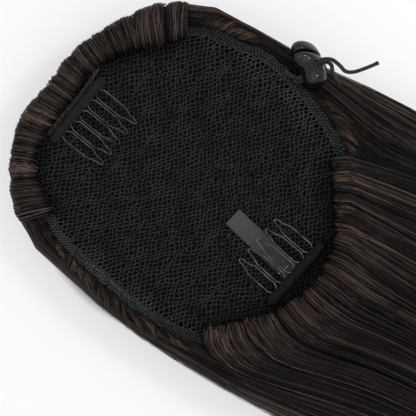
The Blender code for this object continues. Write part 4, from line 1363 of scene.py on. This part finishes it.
def make_lock():
    body = finished(moulded_form("cord_lock_barrel", LOCK_BODY))
    cutters = lock_cutters()
    for cutter in cutters:
        cut = body.modifiers.new(cutter.name, "BOOLEAN")
        cut.operation = "DIFFERENCE"
        cut.object = cutter
    make_plain(body)
    body.data.shade_smooth()
    body.data.set_sharp_from_angle(angle=math.radians(50))
    for cutter in cutters:
        bpy.data.objects.remove(cutter, do_unlink=True)
    stem, knob = moulded_form("button_stem", LOCK_STEM), moulded_form("cord_lock_head", LOCK_HEAD)
    return body, finished(stem), finished(knob)


barrel, stem, knob = make_lock()
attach(barrel, "hairpiece")
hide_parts("cord_lock_body")
for piece in (stem, knob):
    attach(piece, "lock_button")
    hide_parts("cord_lock_button")

# Drawstring: round black elastic with a braided cover, threaded through the hem and held by the lock.
# Two short lengths run from the hem into the lock, and two cut ends lie beyond it on the hair.
CORD_HALF = 0.0010
CORE_HALF = 0.00066
BRAID_YARNS = 6
BRAID_YARN_HALF = 0.00023
BRAID_PITCH = 0.0040
BRAID_STEP = 0.00026
BRAID_WEAVE = 0.00006
FRAY_LENGTH = 0.0022
CORD_IN_LOCK = {
    "drawstring_left": ((-0.00135, 0.0046, -0.0055), (-0.0014, 0.0068, -0.0054)),
    "drawstring_right": ((0.00135, 0.0046, -0.0055), (0.0013, 0.0068, -0.0056)),
    "cord_end_far": ((-0.00135, -0.0046, -0.0055), (-0.00135, -0.0066, -0.0055)),
    "cord_end_near": ((0.00135, -0.0046, -0.0055), (0.00135, -0.0060, -0.0055)),
}
CORD_OUTSIDE = {
    "drawstring_left": (
        (0.0150, 0.0737, 0.0440), (0.0126, 0.0732, 0.0431), (0.0104, 0.0732, 0.0421),
        (0.0089, 0.0732, 0.0409),
    ),
    "drawstring_right": (
        (0.0172, 0.0735, 0.0422), (0.0158, 0.0727, 0.0419), (0.0145, 0.0721, 0.0411),
    ),
    "cord_end_far": (
        (0.0199, 0.0868, 0.0530), (0.0232, 0.0890, 0.0528), (0.0280, 0.0898, 0.0486),
        (0.0320, 0.0902, 0.0438), (0.0358, 0.0934, 0.0400), (0.0400, 0.0999, 0.0370),
        (0.0426, 0.1046, 0.0354),
    ),
    "cord_end_near": (
        (0.0219, 0.0871, 0.0503), (0.0246, 0.0877, 0.0481), (0.0277, 0.0860, 0.0426),
        (0.0318, 0.0854, 0.0378), (0.0366, 0.0853, 0.0341), (0.0449, 0.0859, 0.0329),
        (0.0540, 0.0868, 0.0331),
    ),
}
COVER_DARK, COVER_LIGHT = (0.010, 0.011, 0.010), (0.042, 0.043, 0.040)
cord_yarn = yarn_material("braided elastic cover", COVER_DARK, COVER_LIGHT, 0.7, sheen=0.1)


def smooth_line(points, step):
    """Even points on the smooth curve through a few given ones."""
    stops = np.concatenate(([0], np.cumsum(np.linalg.norm(np.diff(points, axis=0), axis=1))))
    at = np.linspace(0, stops[-1], int(stops[-1] / step) + 2)
    first = np.clip(np.searchsorted(stops, at, side="right") - 1, 0, len(points) - 2)
    share = (at - stops[first]) / (stops[first + 1] - stops[first])
    padded = np.concatenate((2 * points[:1] - points[1:2], points, 2 * points[-1:] - points[-2:-1]))
    weights = smooth_weights(share)
    return sum(weights[k][:, None] * padded[first + k] for k in range(4))


def across_line(line):
    """Two directions across a line at each of its points, turning as little as they can."""
    tangent = np.gradient(line, axis=0)
    tangent /= np.linalg.norm(tangent, axis=1, keepdims=True)
    side = np.cross(tangent[0], (0.0, 0.0, 1.0))
    sides = []
    for direction in tangent:
        side = side - direction * side.dot(direction)
        side = side / np.linalg.norm(side)
        sides.append(side)
    sides = np.array(sides)
    return sides, np.cross(tangent, sides)


def make_braid(name, route, swell_end):
    """An elastic core under yarns that wind both ways round it, thicker at its cut end."""
    line = smooth_line(np.array(route), BRAID_STEP)
    sides, ups = across_line(line)
    along = np.arange(len(line)) * BRAID_STEP
    swell = 1 + (swell_end - 1) * rising(along, along[-1] - FRAY_LENGTH, FRAY_LENGTH) ** 2
    lines, widths = [line], [CORE_HALF * swell]
    turn = math.tau * along / BRAID_PITCH
    weave = BRAID_WEAVE * np.sin(BRAID_YARNS * turn)
    for yarn in range(BRAID_YARNS):
        for way, shift in ((1, 0.0), (-1, 0.5)):
            angle = way * turn + math.tau * (yarn + shift) / BRAID_YARNS
            reach = (CORD_HALF - BRAID_YARN_HALF + way * weave) * swell
            place = line + sides * (np.cos(angle) * reach)[:, None] + ups * (np.sin(angle) * reach)[:, None]
            lines.append(place)
            widths.append(np.full(len(line), BRAID_YARN_HALF))
    piece = make_tubes(name, lines, widths, cord_yarn)
    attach(piece, "hairpiece")
    return piece, line


for node, tip, length in (
    ("drawstring_left", 1.0, None), ("drawstring_right", 1.0, None),
    ("cord_end_far", 1.25, 0.040), ("cord_end_near", 1.1, 0.043),
):
    route = [tuple(LOCK_PLACE @ Vector(point)) for point in CORD_IN_LOCK[node]]
    route += [tuple(Vector(point) + Vector(CAP)) for point in CORD_OUTSIDE[node]]
    piece, line = make_braid(node + "_braid", route, tip)
    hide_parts(node)
